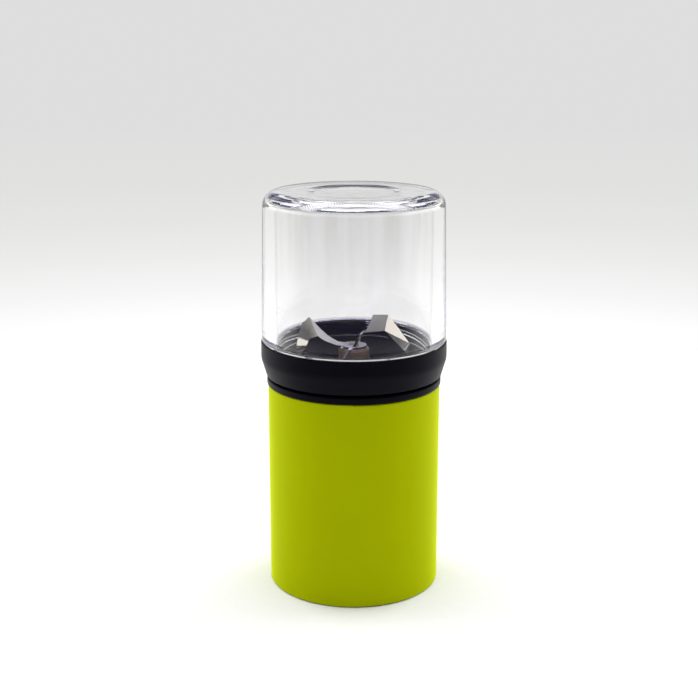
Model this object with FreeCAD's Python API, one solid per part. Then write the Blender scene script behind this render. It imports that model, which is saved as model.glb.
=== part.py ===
import FreeCAD
import Part
import math
import os

# Cordless blade grinder: a clear jar screws into a black blade collar, and the two stand on a
# green motor base and are pressed down to run. Millimetres, +Z up, front towards -Y, origin in
# the middle of the foot on the table.

V = FreeCAD.Vector
UP = V(0, 0, 1)
CENTRE = V(0, 0, 0)
TINY = 1e-6

# Largest share of an edge that one rounding may take
ROUND_SHARE = 0.49

# Clearances
RUNNING_FIT = 0.04
SLIDE_FIT = 0.1
SEAT_GAP = 0.1
ASSEMBLY_FIT = 0.05
MOVING_GAP = 0.4

# Housing
SLEEVE_RADIUS = 35.0
SLEEVE_WALL = 2.2
SLEEVE_HEIGHT = 84.15
SLEEVE_EDGE = 0.5
FOOT_PROUD = 0.25
FOOT_THICKNESS = 1.6
FOOT_WIDTH = 3.4
FOOT_INSET = 1.0
COVER_THICKNESS = 2.4
COVER_REBATE = 1.0

# Top deck with the well that takes the cup
DECK_RIM_OVERHANG = 0.4
DECK_RIM_HEIGHT = 2.9
DECK_RIM_EDGE = 0.6
DECK_PLATE = 2.2
DECK_FIT = 0.15
DECK_RIM_WIDTH = 6.4
WELL_DEPTH = 10.5
KEY_WIDTH = 4.0
KEY_HEIGHT = 1.2
KEY_ANGLES = (90, 210, 330)
KEY_BELOW_RIM = 1.5
SEAL_SECTION = 1.6
SEAL_SQUEEZE_GAP = 0.05
SEAL_DROP = 4.0

# Press ring, its legs and springs
PRESS_GAP = 1.0
PRESS_RING_THICKNESS = 2.2
PRESS_RING_WIDTH = 4.2
PRESS_RING_RISE = 1.6
LEG_FROM_WELL = 3.8
LEG_RADIUS = 2.0
LEG_ANGLES = (30, 150, 270)
LEG_BELOW_CLIP = 0.6
CLIP_THICKNESS = 0.7
CLIP_RIM = 1.4
CLIP_GROOVE = 0.5
CLIP_MOUTH_HALF_ANGLE = 35
SPRING_WIRE = 0.5
SPRING_TURNS = 3.0
SPRING_POCKET = 1.3

# Screws and the posts that they clamp
POST_FROM_WELL = 3.8
POST_RADIUS = 3.0
POST_ANGLES = (58, 122, 242, 298)
SCREW_RADIUS = 1.25
SCREW_HEAD_RADIUS = 2.4
SCREW_HEAD_HEIGHT = 1.4
SCREW_GRIP = 8.0
DRIVE_RADIUS = 1.0
DRIVE_DEPTH = 0.8

# Collar that holds the blade and takes the jar
COLLAR_HEIGHT = 13.8
COLLAR_OVERHANG = 0.2
COLLAR_BULGE = 2.1
COLLAR_BULGE_HEIGHT = 7.0
COLLAR_FLARE = 2.0
COLLAR_EDGE = 0.4
FLOOR_DEPTH = 8.1
FLOOR_THICKNESS = 2.4
BOSS_WALL = 4.2
BOSS_DEPTH = 3.9
SKIRT_WALL = 3.0
SKIRT_FIT = 0.5

# Jar
JAR_HEIGHT = 60.3
JAR_FOOT_INSET = 0.25
JAR_TAPER = 1.1
JAR_WALL = 5.65
JAR_TOP_THICKNESS = 5.05
JAR_SHOULDER = 5.9
JAR_FOOT_EDGE = 0.6
JAR_CEILING_ROUND = 0.6
JAR_SEAT_GAP = 0.15
RECESS_RADIUS = 18.5
RECESS_DEPTH = 0.9
RECESS_SLOPE = 2.5
RECESS_ROUND = 0.6
NECK_STEP = 3.95
NECK_WALL = 2.4
NECK_EDGE = 0.5
GASKET_THICKNESS = 1.2
GASKET_WIDTH = 2.0

# Quick thread between jar and collar
THREAD_LEAD = 12.0
THREAD_STARTS = 3
RIB_DEPTH = 1.1
RIB_ROOT_WIDTH = 1.8
RIB_CREST_WIDTH = 1.0
RIB_MARGIN = 1.1
RIB_STEP_ANGLE = 6.0
RIB_SINK = 0.4

# Blade bearing
HUB_FLANGE = 1.1
HUB_RISE = 4.4
HUB_EDGE = 0.4
HUB_WALL = 1.0
HUB_NUT_WALL = 1.8
HUB_NUT_THICKNESS = 2.3
HUB_BELOW_NUT = 0.3
BUSHING_LENGTH = 4.2
BUSHING_WALL = 1.7
SHAFT_SEAL_LENGTH = 1.5
SHAFT_SEAL_DROP = 0.4
SHAFT_RADIUS = 2.5
SHAFT_SHOULDER = 1.0
RIVET_LIP = 0.5
RIVET_HEIGHT = 0.8
WASHER_INSET = 0.7
WASHER_THICKNESS = 0.3

# Blade: edges of each wing as (x, y, height over the middle plate)
BLADE_THICKNESS = 1.0
BLADE_PLATE_RADIUS = 5.2
LEFT_WING_NEAR = (
    (-2.4, -3.2, 0.0),
    (-6.9, -4.5, 0.9),
    (-11.9, -6.5, 3.4),
    (-14.2, -8.0, 5.6),
    (-17.6, -7.8, 4.3),
    (-18.6, -7.5, 2.0),
    (-19.8, -7.0, -0.3),
    (-21.9, -6.2, -2.7),
)
LEFT_WING_FAR = (
    (-2.4, 2.8, 0.0),
    (-6.6, 2.4, 0.7),
    (-11.2, 2.0, 3.6),
    (-18.5, 4.0, 10.5),
    (-21.3, 2.4, 8.4),
    (-22.8, -1.4, 3.8),
    (-23.3, -3.6, 0.0),
    (-22.7, -5.4, -2.5),
)
RIGHT_WING_NEAR = (
    (4.6, -4.6, 6.2),
    (12.3, -4.6, 6.9),
    (17.1, -4.6, 1.9),
    (21.9, -4.6, -3.1),
)
RIGHT_WING_FAR = (
    (8.1, 8.0, 10.5),
    (14.4, 8.0, 10.5),
    (18.0, 7.0, 5.9),
    (23.4, 4.0, -0.6),
)
STEM_NEAR = (
    (-2.6, -4.2, 0.0),
    (-0.4, -4.6, 0.5),
    (1.8, -4.6, 4.3),
    (3.4, -4.6, 6.0),
    (5.6, -4.6, 6.3),
)
STEM_FAR = (
    (-2.6, -2.3, 0.0),
    (-0.2, -2.3, 0.5),
    (2.1, -2.3, 4.6),
    (4.0, -2.3, 6.6),
    (6.3, -2.3, 7.1),
)
SPUR_LINE = ((-0.4, -3.4, 0.0), (-1.9, -7.0, -0.3), (-3.9, -8.0, -3.5))
SPUR_WIDTH = 1.8

# Splined coupling
SPLINE_TEETH = 6
SPLINE_ROOT_RADIUS = 4.0
SPLINE_TIP_RADIUS = 5.6
SPLINE_TOOTH_WIDTH = 1.8
SPLINE_GAP = 0.4
COUPLING_WALL = 1.6
COUPLING_ROOF = 1.3
COUPLING_ENGAGE = 3.0
DRIVE_COUPLING_HEIGHT = 4.3
DRIVE_COUPLING_RISE = 0.4

# Motor
MOTOR_RADIUS = 12.2
MOTOR_LENGTH = 30.8
MOTOR_WALL = 0.8
MOTOR_SHAFT_RADIUS = 1.15
MOTOR_BOSS_RADIUS = 4.0
MOTOR_CAP_THICKNESS = 2.2
MAGNET_THICKNESS = 2.2
MAGNET_LENGTH = 20.0
MAGNET_SPAN = 130
AIR_GAP = 0.5
CORE_LENGTH = 15.0
CORE_POLES = 3
CORE_HUB = 1.65
CORE_RIM = 1.45
CORE_SLOT_MOUTH = 1.2
WINDING_END = 2.4
COMMUTATOR_RADIUS = 2.6
COMMUTATOR_LENGTH = 4.0
BRUSH_WIDTH = 2.4
BRUSH_HEIGHT = 2.0
TERMINAL_WIDTH = 2.2
TERMINAL_THICKNESS = 0.4
TERMINAL_LENGTH = 5.0
MOTOR_BUSHING_RADIUS = 3.0
MOTOR_BUSHING_LENGTH = 2.6
MOTOR_SCREW_CIRCLE = 8.0
MOTOR_SCREW_GRIP = 2.4
BRACKET_THICKNESS = 2.0

# Cells, their tray and the control board
CELL_RADIUS = 9.2
CELL_LENGTH = 65.0
CELL_ANGLES = (210, 330)
CELL_TO_MOTOR = 1.2
TRAY_THICKNESS = 2.5
TRAY_CUP_HEIGHT = 8.0
TRAY_CUP_WALL = 1.0
TAB_THICKNESS = 0.2
TAB_WIDTH = 7.0
TAB_TONGUE = 2.0
LEAD_RADIUS = 0.6
LEAD_DROP = 8.0
BOARD_WIDTH = 24.0
BOARD_HEIGHT = 34.0
BOARD_THICKNESS = 1.2
BOARD_SLOT_WALL = 1.2
BOARD_SLOT_HEIGHT = 3.5
SOCKET_WIDTH = 8.94
SOCKET_THICKNESS = 3.26
SOCKET_DEPTH = 7.35
SOCKET_WALL = 0.3
SOCKET_TONGUE = 0.7
SOCKET_BELOW_SKIN = 0.8
SOCKET_ABOVE_TRAY = 11.0
LIGHT_RADIUS = 1.25
LIGHT_ABOVE_SOCKET = 9.0

# Chips as (middle x, height over the tray, width, length, thickness)
BOARD_CHIPS = (
    (-6.0, 9.0, 6.0, 5.0, 1.5),
    (5.0, 9.0, 4.0, 4.0, 1.2),
    (9.5, 18.0, 3.0, 5.0, 1.8),
)

# Terminal blocks as (width, length, thickness), and where leads meet them
LEAD_BLOCK = (14.0, 3.0, 2.4)
LEAD_BLOCK_HEIGHTS = (30.0, 23.0, 16.0)
LEAD_BEND = 0.45
MOTOR_LEAD_SPREAD = 3.0
CELL_LEAD_SPREAD = 5.5
SWITCH_LEAD_SPREAD = 1.8

# Switch under the front leg
SWITCH_LENGTH = 12.8
SWITCH_WIDTH = 5.8
SWITCH_HEIGHT = 6.5
SWITCH_CHEEK = 1.2
PLUNGER_LENGTH = 2.8
PLUNGER_WIDTH = 1.6
PLUNGER_PROUD = 1.2
PLUNGER_DEPTH = 2.0

# Heights that follow from the stack, from the table up
sleeve_bottom = FOOT_PROUD
sleeve_top = sleeve_bottom + SLEEVE_HEIGHT
cover_top = sleeve_bottom + COVER_THICKNESS
tray_top = cover_top + TRAY_THICKNESS
cell_bottom = tray_top + TAB_THICKNESS
cell_top = cell_bottom + CELL_LENGTH
deck_rim_top = sleeve_top + DECK_RIM_HEIGHT
key_top = deck_rim_top - KEY_BELOW_RIM
well_floor = deck_rim_top - WELL_DEPTH
deck_bottom = well_floor - DECK_PLATE
bracket_bottom = deck_bottom - BRACKET_THICKNESS
press_ring_bottom = well_floor + PRESS_RING_RISE
press_ring_top = press_ring_bottom + PRESS_RING_THICKNESS
clip_top = bracket_bottom - SEAT_GAP
clip_bottom = clip_top - CLIP_THICKNESS
leg_bottom = clip_bottom - LEG_BELOW_CLIP
plunger_top = leg_bottom - SEAT_GAP
switch_top = plunger_top - PLUNGER_PROUD
collar_bottom = deck_rim_top + PRESS_GAP
collar_top = collar_bottom + COLLAR_HEIGHT
floor_top = collar_top - FLOOR_DEPTH
floor_bottom = floor_top - FLOOR_THICKNESS
boss_bottom = floor_bottom - BOSS_DEPTH
hub_top = floor_top + HUB_RISE
hub_bottom = boss_bottom - HUB_NUT_THICKNESS - HUB_BELOW_NUT
washer_bottom = hub_top + SEAT_GAP
plate_bottom = washer_bottom + WASHER_THICKNESS
plate_top = plate_bottom + BLADE_THICKNESS
gasket_bottom = floor_top + SEAT_GAP
neck_bottom = gasket_bottom + GASKET_THICKNESS + SEAT_GAP
jar_bottom = collar_top + JAR_SEAT_GAP
jar_top = jar_bottom + JAR_HEIGHT
drive_bottom = well_floor + DRIVE_COUPLING_RISE
drive_top = drive_bottom + DRIVE_COUPLING_HEIGHT
driven_bottom = drive_top - COUPLING_ENGAGE
driven_roof = drive_top + PRESS_GAP + MOVING_GAP
driven_top = driven_roof + COUPLING_ROOF
motor_bottom = bracket_bottom - MOTOR_LENGTH
commutator_top = motor_bottom + MOTOR_CAP_THICKNESS + SEAT_GAP + COMMUTATOR_LENGTH
core_middle = commutator_top + SEAT_GAP + WINDING_END + CORE_LENGTH / 2
terminal_bottom = motor_bottom - TERMINAL_LENGTH
socket_middle = tray_top + SOCKET_ABOVE_TRAY

# Radii that follow
sleeve_bore = SLEEVE_RADIUS - SLEEVE_WALL
skirt_radius = sleeve_bore - DECK_FIT
deck_rim_radius = SLEEVE_RADIUS + DECK_RIM_OVERHANG
well_radius = deck_rim_radius - DECK_RIM_WIDTH
leg_circle = well_radius - LEG_FROM_WELL
post_circle = well_radius - POST_FROM_WELL
collar_foot_radius = deck_rim_radius + COLLAR_OVERHANG
collar_bulge_radius = collar_foot_radius + COLLAR_BULGE
collar_top_radius = collar_foot_radius + COLLAR_FLARE
jar_foot_radius = collar_top_radius - JAR_FOOT_INSET
jar_top_radius = jar_foot_radius - JAR_TAPER
jar_bore_radius = jar_foot_radius - JAR_WALL
neck_radius = jar_foot_radius - NECK_STEP
cup_skirt_radius = well_radius - SKIRT_FIT
socket_radius = neck_radius + MOVING_GAP + RIB_DEPTH
neck_bore = neck_radius - NECK_WALL
shaft_pin_radius = SHAFT_RADIUS - SHAFT_SHOULDER
rivet_radius = shaft_pin_radius + RIVET_LIP
hub_bore_radius = SHAFT_RADIUS + BUSHING_WALL
hub_thread_radius = hub_bore_radius + HUB_WALL
hub_radius = hub_thread_radius + HUB_FLANGE
hub_nut_flats = 2 * (hub_thread_radius + HUB_NUT_WALL)
washer_radius = hub_radius - WASHER_INSET
press_ring_inner = leg_circle - PRESS_RING_WIDTH / 2
press_ring_outer = leg_circle + PRESS_RING_WIDTH / 2
coupling_radius = SPLINE_TIP_RADIUS + SPLINE_GAP + COUPLING_WALL
cell_circle = MOTOR_RADIUS + CELL_TO_MOTOR + CELL_RADIUS
core_radius = MOTOR_RADIUS - MOTOR_WALL - ASSEMBLY_FIT - MAGNET_THICKNESS - AIR_GAP
core_slot_radius = (core_radius - CORE_RIM - MOTOR_SHAFT_RADIUS - CORE_HUB) / 2
core_slot_circle = MOTOR_SHAFT_RADIUS + CORE_HUB + core_slot_radius
screw_hole = SCREW_RADIUS + ASSEMBLY_FIT
socket_mouth = SLEEVE_RADIUS - SOCKET_BELOW_SKIN
board_back = socket_mouth - SOCKET_DEPTH
board_front = board_back - BOARD_THICKNESS


def rounded_face(corners):
    """Closed face in the XZ plane from (radius, height, rounding) corners."""
    points = [V(r, 0, z) for r, z, rounding in corners]
    count = len(points)
    trims = []
    for i in range(count):
        corner = points[i]
        before = points[i - 1] - corner
        after = points[(i + 1) % count] - corner
        rounding = corners[i][2]
        if rounding == 0:
            trims.append((corner, None, corner))
            continue
        half = before.getAngle(after) / 2
        room = ROUND_SHARE * min(before.Length, after.Length)
        reach = min(rounding / math.tan(half), room)
        radius = reach * math.tan(half)
        inwards = (before.normalize() + after.normalize()).normalize()
        middle = corner + inwards * (radius / math.sin(half) - radius)
        trims.append((corner + before * reach, middle, corner + after * reach))
    edges = []
    for i in range(count):
        start, middle, end = trims[i]
        if middle is not None:
            edges.append(Part.Arc(start, middle, end).toShape())
        next_start = trims[(i + 1) % count][0]
        if (next_start - end).Length > TINY:
            edges.append(Part.makeLine(end, next_start))
    return Part.Face(Part.Wire(edges))


def turned(corners):
    """Solid of revolution about Z from (radius, height, rounding) corners."""
    return rounded_face(corners).revolve(CENTRE, UP, 360)


def disc(radius, bottom, top, x=0.0, y=0.0):
    return Part.makeCylinder(radius, top - bottom, V(x, y, bottom))


def ring(outer, inner, bottom, top, x=0.0, y=0.0):
    return disc(outer, bottom, top, x, y).cut(disc(inner, bottom, top, x, y))


def block(x, y, z):
    """Box from three (low, high) pairs."""
    low = V(x[0], y[0], z[0])
    return Part.makeBox(x[1] - x[0], y[1] - y[0], z[1] - z[0], low)


def spun(shape, angle):
    copy = shape.copy()
    copy.rotate(CENTRE, UP, angle)
    return copy


def polar(radius, angle):
    turn = math.radians(angle)
    return radius * math.cos(turn), radius * math.sin(turn)


def discs_on_circle(radius, circle, angles, bottom, top):
    return [disc(radius, bottom, top, *polar(circle, angle)) for angle in angles]


def cut_all(shape, tools):
    for tool in tools:
        shape = shape.cut(tool)
    return shape


def fuse_all(shapes):
    whole = shapes[0]
    for shape in shapes[1:]:
        whole = whole.fuse(shape)
    return whole.removeSplitter()


def hexagon(flats, bottom, top):
    corner = flats / math.sqrt(3)
    points = [V(*polar(corner, 60 * i), bottom) for i in range(7)]
    return Part.Face(Part.makePolygon(points)).extrude(V(0, 0, top - bottom))


def countersunk_screw(circle, angle, head_z, direction, grip):
    """Flat-head screw with its head face at head_z; direction is +1 or -1 along Z into the work."""
    x, y = polar(circle, angle)
    axis = V(0, 0, direction)
    face = V(x, y, head_z)
    head = Part.makeCone(SCREW_HEAD_RADIUS, SCREW_RADIUS, SCREW_HEAD_HEIGHT, face, axis)
    shank = Part.makeCylinder(SCREW_RADIUS, grip, face, axis)
    recess = Part.makeCylinder(DRIVE_RADIUS, DRIVE_DEPTH, face, axis)
    return head.fuse(shank).cut(recess).removeSplitter()


def countersunk_hole(circle, angle, head_z, direction, length):
    x, y = polar(circle, angle)
    axis = V(0, 0, direction)
    face = V(x, y, head_z)
    head = Part.makeCone(
        SCREW_HEAD_RADIUS + ASSEMBLY_FIT,
        SCREW_RADIUS + ASSEMBLY_FIT,
        SCREW_HEAD_HEIGHT,
        face,
        axis,
    )
    return head.fuse(Part.makeCylinder(screw_hole, length, face, axis))


def open_clip(groove_radius, rim_radius, x, y):
    """Flat spring clip with a mouth, pushed sideways into a groove."""
    whole = ring(rim_radius, groove_radius + ASSEMBLY_FIT, clip_bottom, clip_top, x, y)
    reach = 2 * rim_radius
    side = reach * math.tan(math.radians(CLIP_MOUTH_HALF_ANGLE))
    corners = [
        V(x, y, clip_bottom),
        V(x + side, y - reach, clip_bottom),
        V(x - side, y - reach, clip_bottom),
        V(x, y, clip_bottom),
    ]
    mouth = Part.Face(Part.makePolygon(corners)).extrude(V(0, 0, CLIP_THICKNESS))
    return whole.cut(mouth)


def biarc(start, start_way, end, end_way):
    """Two tangent arcs between two points with given unit directions."""
    chord = end - start
    ways = start_way + end_way
    a = 2 * (1 - start_way.dot(end_way))
    b = 2 * chord.dot(ways)
    c = -chord.dot(chord)
    if abs(a) < TINY:
        reach = -c / b
    else:
        reach = (-b + math.sqrt(b * b - 4 * a * c)) / (2 * a)
    near = start + start_way * reach
    far = end - end_way * reach
    joint = (near + far) * 0.5
    arcs = []
    for first, apex, last in ((start, near, joint), (joint, far, end)):
        middle = (first + last) * 0.5
        weight = (last - first).Length / 2 / reach
        crown = (middle + apex * weight) * (1 / (1 + weight))
        arcs.append(Part.Arc(first, crown, last).toShape())
    return arcs


def coil(mean_radius, wire_radius, bottom, top, turns, x, y):
    """Open helical spring of round wire between two heights, on biarcs of a quarter turn."""
    rise = (top - bottom - 2 * wire_radius) / turns
    steps = int(round(turns * 4))
    slope = rise / (2 * math.pi * mean_radius)
    stretch = math.sqrt(1 + slope * slope)

    def point(step):
        turn = math.pi / 2 * step
        height = bottom + wire_radius + rise * step / 4
        return V(x + mean_radius * math.cos(turn), y + mean_radius * math.sin(turn), height)

    def way(step):
        turn = math.pi / 2 * step
        return V(-math.sin(turn) / stretch, math.cos(turn) / stretch, slope / stretch)

    edges = []
    for step in range(steps):
        edges += biarc(point(step), way(step), point(step + 1), way(step + 1))
    section = Part.Wire(Part.makeCircle(wire_radius, point(0), way(0)))
    return Part.Wire(edges).makePipeShell([section], True, False)


def thread_rib(wall_radius, outwards, start_angle):
    """One helical rib on a wall; outwards is +1 on the jar neck and -1 in the collar."""
    rise = collar_top - neck_bottom - RIB_ROOT_WIDTH - 2 * RIB_MARGIN
    span = 360 * rise / THREAD_LEAD
    steps = max(2, int(math.ceil(span / RIB_STEP_ANGLE)))
    first = neck_bottom + RIB_MARGIN + RIB_ROOT_WIDTH / 2
    root = wall_radius - outwards * RIB_SINK
    crest = wall_radius + outwards * RIB_DEPTH
    sections = []
    for step in range(steps + 1):
        angle = start_angle + span * step / steps
        height = first + rise * step / steps
        outline = (
            (root, height - RIB_ROOT_WIDTH / 2),
            (crest, height - RIB_CREST_WIDTH / 2),
            (crest, height + RIB_CREST_WIDTH / 2),
            (root, height + RIB_ROOT_WIDTH / 2),
        )
        points = [V(*polar(r, angle), z) for r, z in outline]
        sections.append(Part.makePolygon(points + points[:1]))
    return Part.makeLoft(sections, True, True)


def sheet(near, far, thickness):
    """Bent sheet between two edge lines on its upper face, thickened downwards."""

    def mitred(line, other):
        lowered = []
        last = len(line) - 1
        for i, point in enumerate(line):
            across = other[i] - point
            normals = []
            for a, b in ((max(i - 1, 0), max(i, 1)), (min(i, last - 1), min(i + 1, last))):
                along = line[b] - line[a]
                normals.append(along.cross(across).normalize())
            mean = (normals[0] + normals[1]).normalize()
            down = mean * (thickness / mean.dot(normals[0]))
            lowered.append(point - down if down.z > 0 else point + down)
        return lowered

    top_near = [V(x, y, plate_top + z) for x, y, z in near]
    top_far = [V(x, y, plate_top + z) for x, y, z in far]
    low_near = mitred(top_near, top_far)
    low_far = mitred(top_far, top_near)
    faces = []

    def quad(a, b, c, d):
        faces.append(Part.Face(Part.makePolygon([a, b, c, a])))
        faces.append(Part.Face(Part.makePolygon([a, c, d, a])))

    for i in range(len(near) - 1):
        quad(top_near[i], top_near[i + 1], top_far[i + 1], top_far[i])
        quad(low_near[i], low_far[i], low_far[i + 1], low_near[i + 1])
        quad(top_near[i], low_near[i], low_near[i + 1], top_near[i + 1])
        quad(top_far[i], top_far[i + 1], low_far[i + 1], low_far[i])
    quad(top_near[0], top_far[0], low_far[0], low_near[0])
    quad(top_near[-1], low_near[-1], low_far[-1], top_far[-1])
    solid = Part.Solid(Part.Shell(faces))
    if solid.Volume < 0:
        solid.reverse()
    return solid


# Housing


def body_sleeve():
    tube = turned((
        (SLEEVE_RADIUS, sleeve_bottom, SLEEVE_EDGE),
        (SLEEVE_RADIUS, sleeve_top, SLEEVE_EDGE),
        (sleeve_bore, sleeve_top, 0),
        (sleeve_bore, cover_top, 0),
        (sleeve_bore + COVER_REBATE, cover_top, 0),
        (sleeve_bore + COVER_REBATE, sleeve_bottom, 0),
    ))
    window = charging_socket_outline(ASSEMBLY_FIT, board_back, SLEEVE_RADIUS + SLEEVE_WALL)
    return tube.cut(window).cut(light_pin(LIGHT_RADIUS + ASSEMBLY_FIT, SLEEVE_RADIUS + SLEEVE_WALL))


def foot_ring():
    outer = sleeve_bore + COVER_REBATE - FOOT_INSET
    return ring(outer, outer - FOOT_WIDTH, 0, FOOT_THICKNESS)


def bottom_cover():
    radius = sleeve_bore + COVER_REBATE - ASSEMBLY_FIT
    outer = sleeve_bore + COVER_REBATE - FOOT_INSET
    groove = ring(
        outer + ASSEMBLY_FIT,
        outer - FOOT_WIDTH - ASSEMBLY_FIT,
        sleeve_bottom,
        FOOT_THICKNESS,
    )
    holes = [
        countersunk_hole(post_circle, angle, sleeve_bottom, 1, COVER_THICKNESS)
        for angle in POST_ANGLES
    ]
    return cut_all(disc(radius, sleeve_bottom, cover_top), [groove] + holes)


def bottom_screws():
    return [
        countersunk_screw(post_circle, angle, sleeve_bottom, 1, tray_top - sleeve_bottom + SCREW_GRIP)
        for angle in POST_ANGLES
    ]


def top_deck():
    body = turned((
        (0, deck_bottom, 0),
        (skirt_radius, deck_bottom, 0),
        (skirt_radius, sleeve_top, 0),
        (deck_rim_radius, sleeve_top, DECK_RIM_EDGE),
        (deck_rim_radius, deck_rim_top, DECK_RIM_EDGE),
        (well_radius, deck_rim_top, DECK_RIM_EDGE),
        (well_radius, well_floor, 0),
        (0, well_floor, 0),
    ))
    keys = [spun(key_block(0, well_floor, key_top), angle) for angle in KEY_ANGLES]
    body = fuse_all([body] + keys)
    groove_radius = sleeve_bore - SEAL_SECTION - 2 * SEAL_SQUEEZE_GAP
    seal_middle = sleeve_top - SEAL_DROP
    half = SEAL_SECTION / 2 + SEAL_SQUEEZE_GAP
    groove = ring(sleeve_bore, groove_radius, seal_middle - half, seal_middle + half)
    pockets = discs_on_circle(
        LEG_RADIUS + SPRING_POCKET, leg_circle, LEG_ANGLES, deck_bottom, well_floor
    )
    holes = [
        countersunk_hole(post_circle, angle, well_floor, -1, DECK_PLATE) for angle in POST_ANGLES
    ]
    shaft_hole = disc(MOTOR_BOSS_RADIUS, deck_bottom, well_floor)
    return cut_all(body, [groove, shaft_hole] + pockets + holes)


def key_block(gap, bottom, top):
    """One upright key on the wall of the well, at angle 0; gap widens it for its slot."""
    inner = well_radius - KEY_HEIGHT - gap
    outer = well_radius + KEY_HEIGHT / 2
    half = KEY_WIDTH / 2 + gap
    return block((inner, outer), (-half, half), (bottom, top))


def deck_seal():
    centre_radius = sleeve_bore - SEAL_SQUEEZE_GAP - SEAL_SECTION / 2
    return Part.makeTorus(centre_radius, SEAL_SECTION / 2, V(0, 0, sleeve_top - SEAL_DROP))


def deck_screws():
    return [
        countersunk_screw(post_circle, angle, well_floor, -1, well_floor - bracket_bottom + SCREW_GRIP)
        for angle in POST_ANGLES
    ]


def deck_shaft_seal():
    return ring(
        MOTOR_BOSS_RADIUS - ASSEMBLY_FIT, MOTOR_SHAFT_RADIUS + RUNNING_FIT, deck_bottom, well_floor
    )


def tie_posts():
    posts = []
    for angle in POST_ANGLES:
        x, y = polar(post_circle, angle)
        posts.append(ring(POST_RADIUS, screw_hole, tray_top, bracket_bottom, x, y))
    return posts


def motor_bracket():
    plate = disc(skirt_radius, bracket_bottom, deck_bottom)
    cheek_x = SWITCH_LENGTH / 2 + ASSEMBLY_FIT
    switch_bottom = switch_top - SWITCH_HEIGHT
    half_width = SWITCH_WIDTH / 2
    cheeks = [
        block(
            side,
            (-leg_circle - half_width, -leg_circle + half_width),
            (switch_bottom, bracket_bottom),
        )
        for side in ((cheek_x, cheek_x + SWITCH_CHEEK), (-cheek_x - SWITCH_CHEEK, -cheek_x))
    ]
    shelf = block(
        (-cheek_x - SWITCH_CHEEK, cheek_x + SWITCH_CHEEK),
        (-leg_circle - half_width, -leg_circle + half_width),
        (switch_bottom - SWITCH_CHEEK, switch_bottom),
    )
    holes = discs_on_circle(
        LEG_RADIUS + SLIDE_FIT, leg_circle, LEG_ANGLES, bracket_bottom, deck_bottom
    )
    holes += discs_on_circle(screw_hole, post_circle, POST_ANGLES, bracket_bottom, deck_bottom)
    holes.append(disc(MOTOR_BOSS_RADIUS + ASSEMBLY_FIT, bracket_bottom, deck_bottom))
    holes += [
        countersunk_hole(MOTOR_SCREW_CIRCLE, angle, deck_bottom, -1, BRACKET_THICKNESS)
        for angle in (0, 180)
    ]
    return cut_all(fuse_all([plate] + cheeks + [shelf]), holes)


# Run switch


def press_ring():
    legs = []
    for angle in LEG_ANGLES:
        x, y = polar(leg_circle, angle)
        leg = disc(LEG_RADIUS, leg_bottom, press_ring_bottom, x, y)
        groove = ring(LEG_RADIUS, LEG_RADIUS - CLIP_GROOVE, clip_bottom, clip_top, x, y)
        legs.append(leg.cut(groove))
    return fuse_all([ring(press_ring_outer, press_ring_inner, press_ring_bottom, press_ring_top)] + legs)


def press_leg_clips():
    return [
        open_clip(LEG_RADIUS - CLIP_GROOVE, LEG_RADIUS + CLIP_RIM, *polar(leg_circle, angle))
        for angle in LEG_ANGLES
    ]


def press_springs():
    mean_radius = LEG_RADIUS + SPRING_POCKET / 2
    return [
        coil(
            mean_radius,
            SPRING_WIRE / 2,
            deck_bottom,
            press_ring_bottom,
            SPRING_TURNS,
            *polar(leg_circle, angle),
        )
        for angle in LEG_ANGLES
    ]


def micro_switch():
    half = SWITCH_WIDTH / 2
    body = block(
        (-SWITCH_LENGTH / 2, SWITCH_LENGTH / 2),
        (-leg_circle - half, -leg_circle + half),
        (switch_top - SWITCH_HEIGHT, switch_top),
    )
    well_depth = PLUNGER_DEPTH + PLUNGER_PROUD
    return body.cut(plunger_block(SLIDE_FIT, switch_top - well_depth, switch_top))


def plunger_block(gap, bottom, top):
    half_length = PLUNGER_LENGTH / 2 + gap
    half_width = PLUNGER_WIDTH / 2 + gap
    return block(
        (-half_length, half_length),
        (-leg_circle - half_width, -leg_circle + half_width),
        (bottom, top),
    )


def switch_plunger():
    return plunger_block(0, switch_top - PLUNGER_DEPTH, plunger_top)


# Cup


def blade_collar():
    body = turned((
        (hub_thread_radius + ASSEMBLY_FIT, boss_bottom, 0),
        (hub_thread_radius + BOSS_WALL, boss_bottom, 0),
        (hub_thread_radius + BOSS_WALL, floor_bottom, 0),
        (cup_skirt_radius - SKIRT_WALL, floor_bottom, 0),
        (cup_skirt_radius - SKIRT_WALL, press_ring_top + SEAT_GAP, 0),
        (cup_skirt_radius, press_ring_top + SEAT_GAP, COLLAR_EDGE),
        (cup_skirt_radius, collar_bottom, 0),
        (collar_foot_radius, collar_bottom, COLLAR_EDGE),
        (collar_bulge_radius, collar_bottom + COLLAR_BULGE_HEIGHT, COLLAR_BULGE_HEIGHT),
        (collar_top_radius, collar_top, COLLAR_EDGE),
        (socket_radius, collar_top, COLLAR_EDGE),
        (socket_radius, floor_top, 0),
        (hub_thread_radius + ASSEMBLY_FIT, floor_top, 0),
    ))
    slot = key_block(MOVING_GAP, press_ring_bottom, key_top + PRESS_GAP)
    body = cut_all(body, [spun(slot, angle) for angle in KEY_ANGLES])
    turn = 360 / THREAD_STARTS
    ribs = [thread_rib(socket_radius, -1, turn * i - turn / 2) for i in range(THREAD_STARTS)]
    return fuse_all([body] + ribs)


def bearing_sleeve():
    return turned((
        (hub_bore_radius, hub_bottom, 0),
        (hub_thread_radius, hub_bottom, 0),
        (hub_thread_radius, floor_top, 0),
        (hub_radius, floor_top, 0),
        (hub_radius, hub_top, HUB_EDGE),
        (hub_bore_radius, hub_top, 0),
    ))


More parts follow.
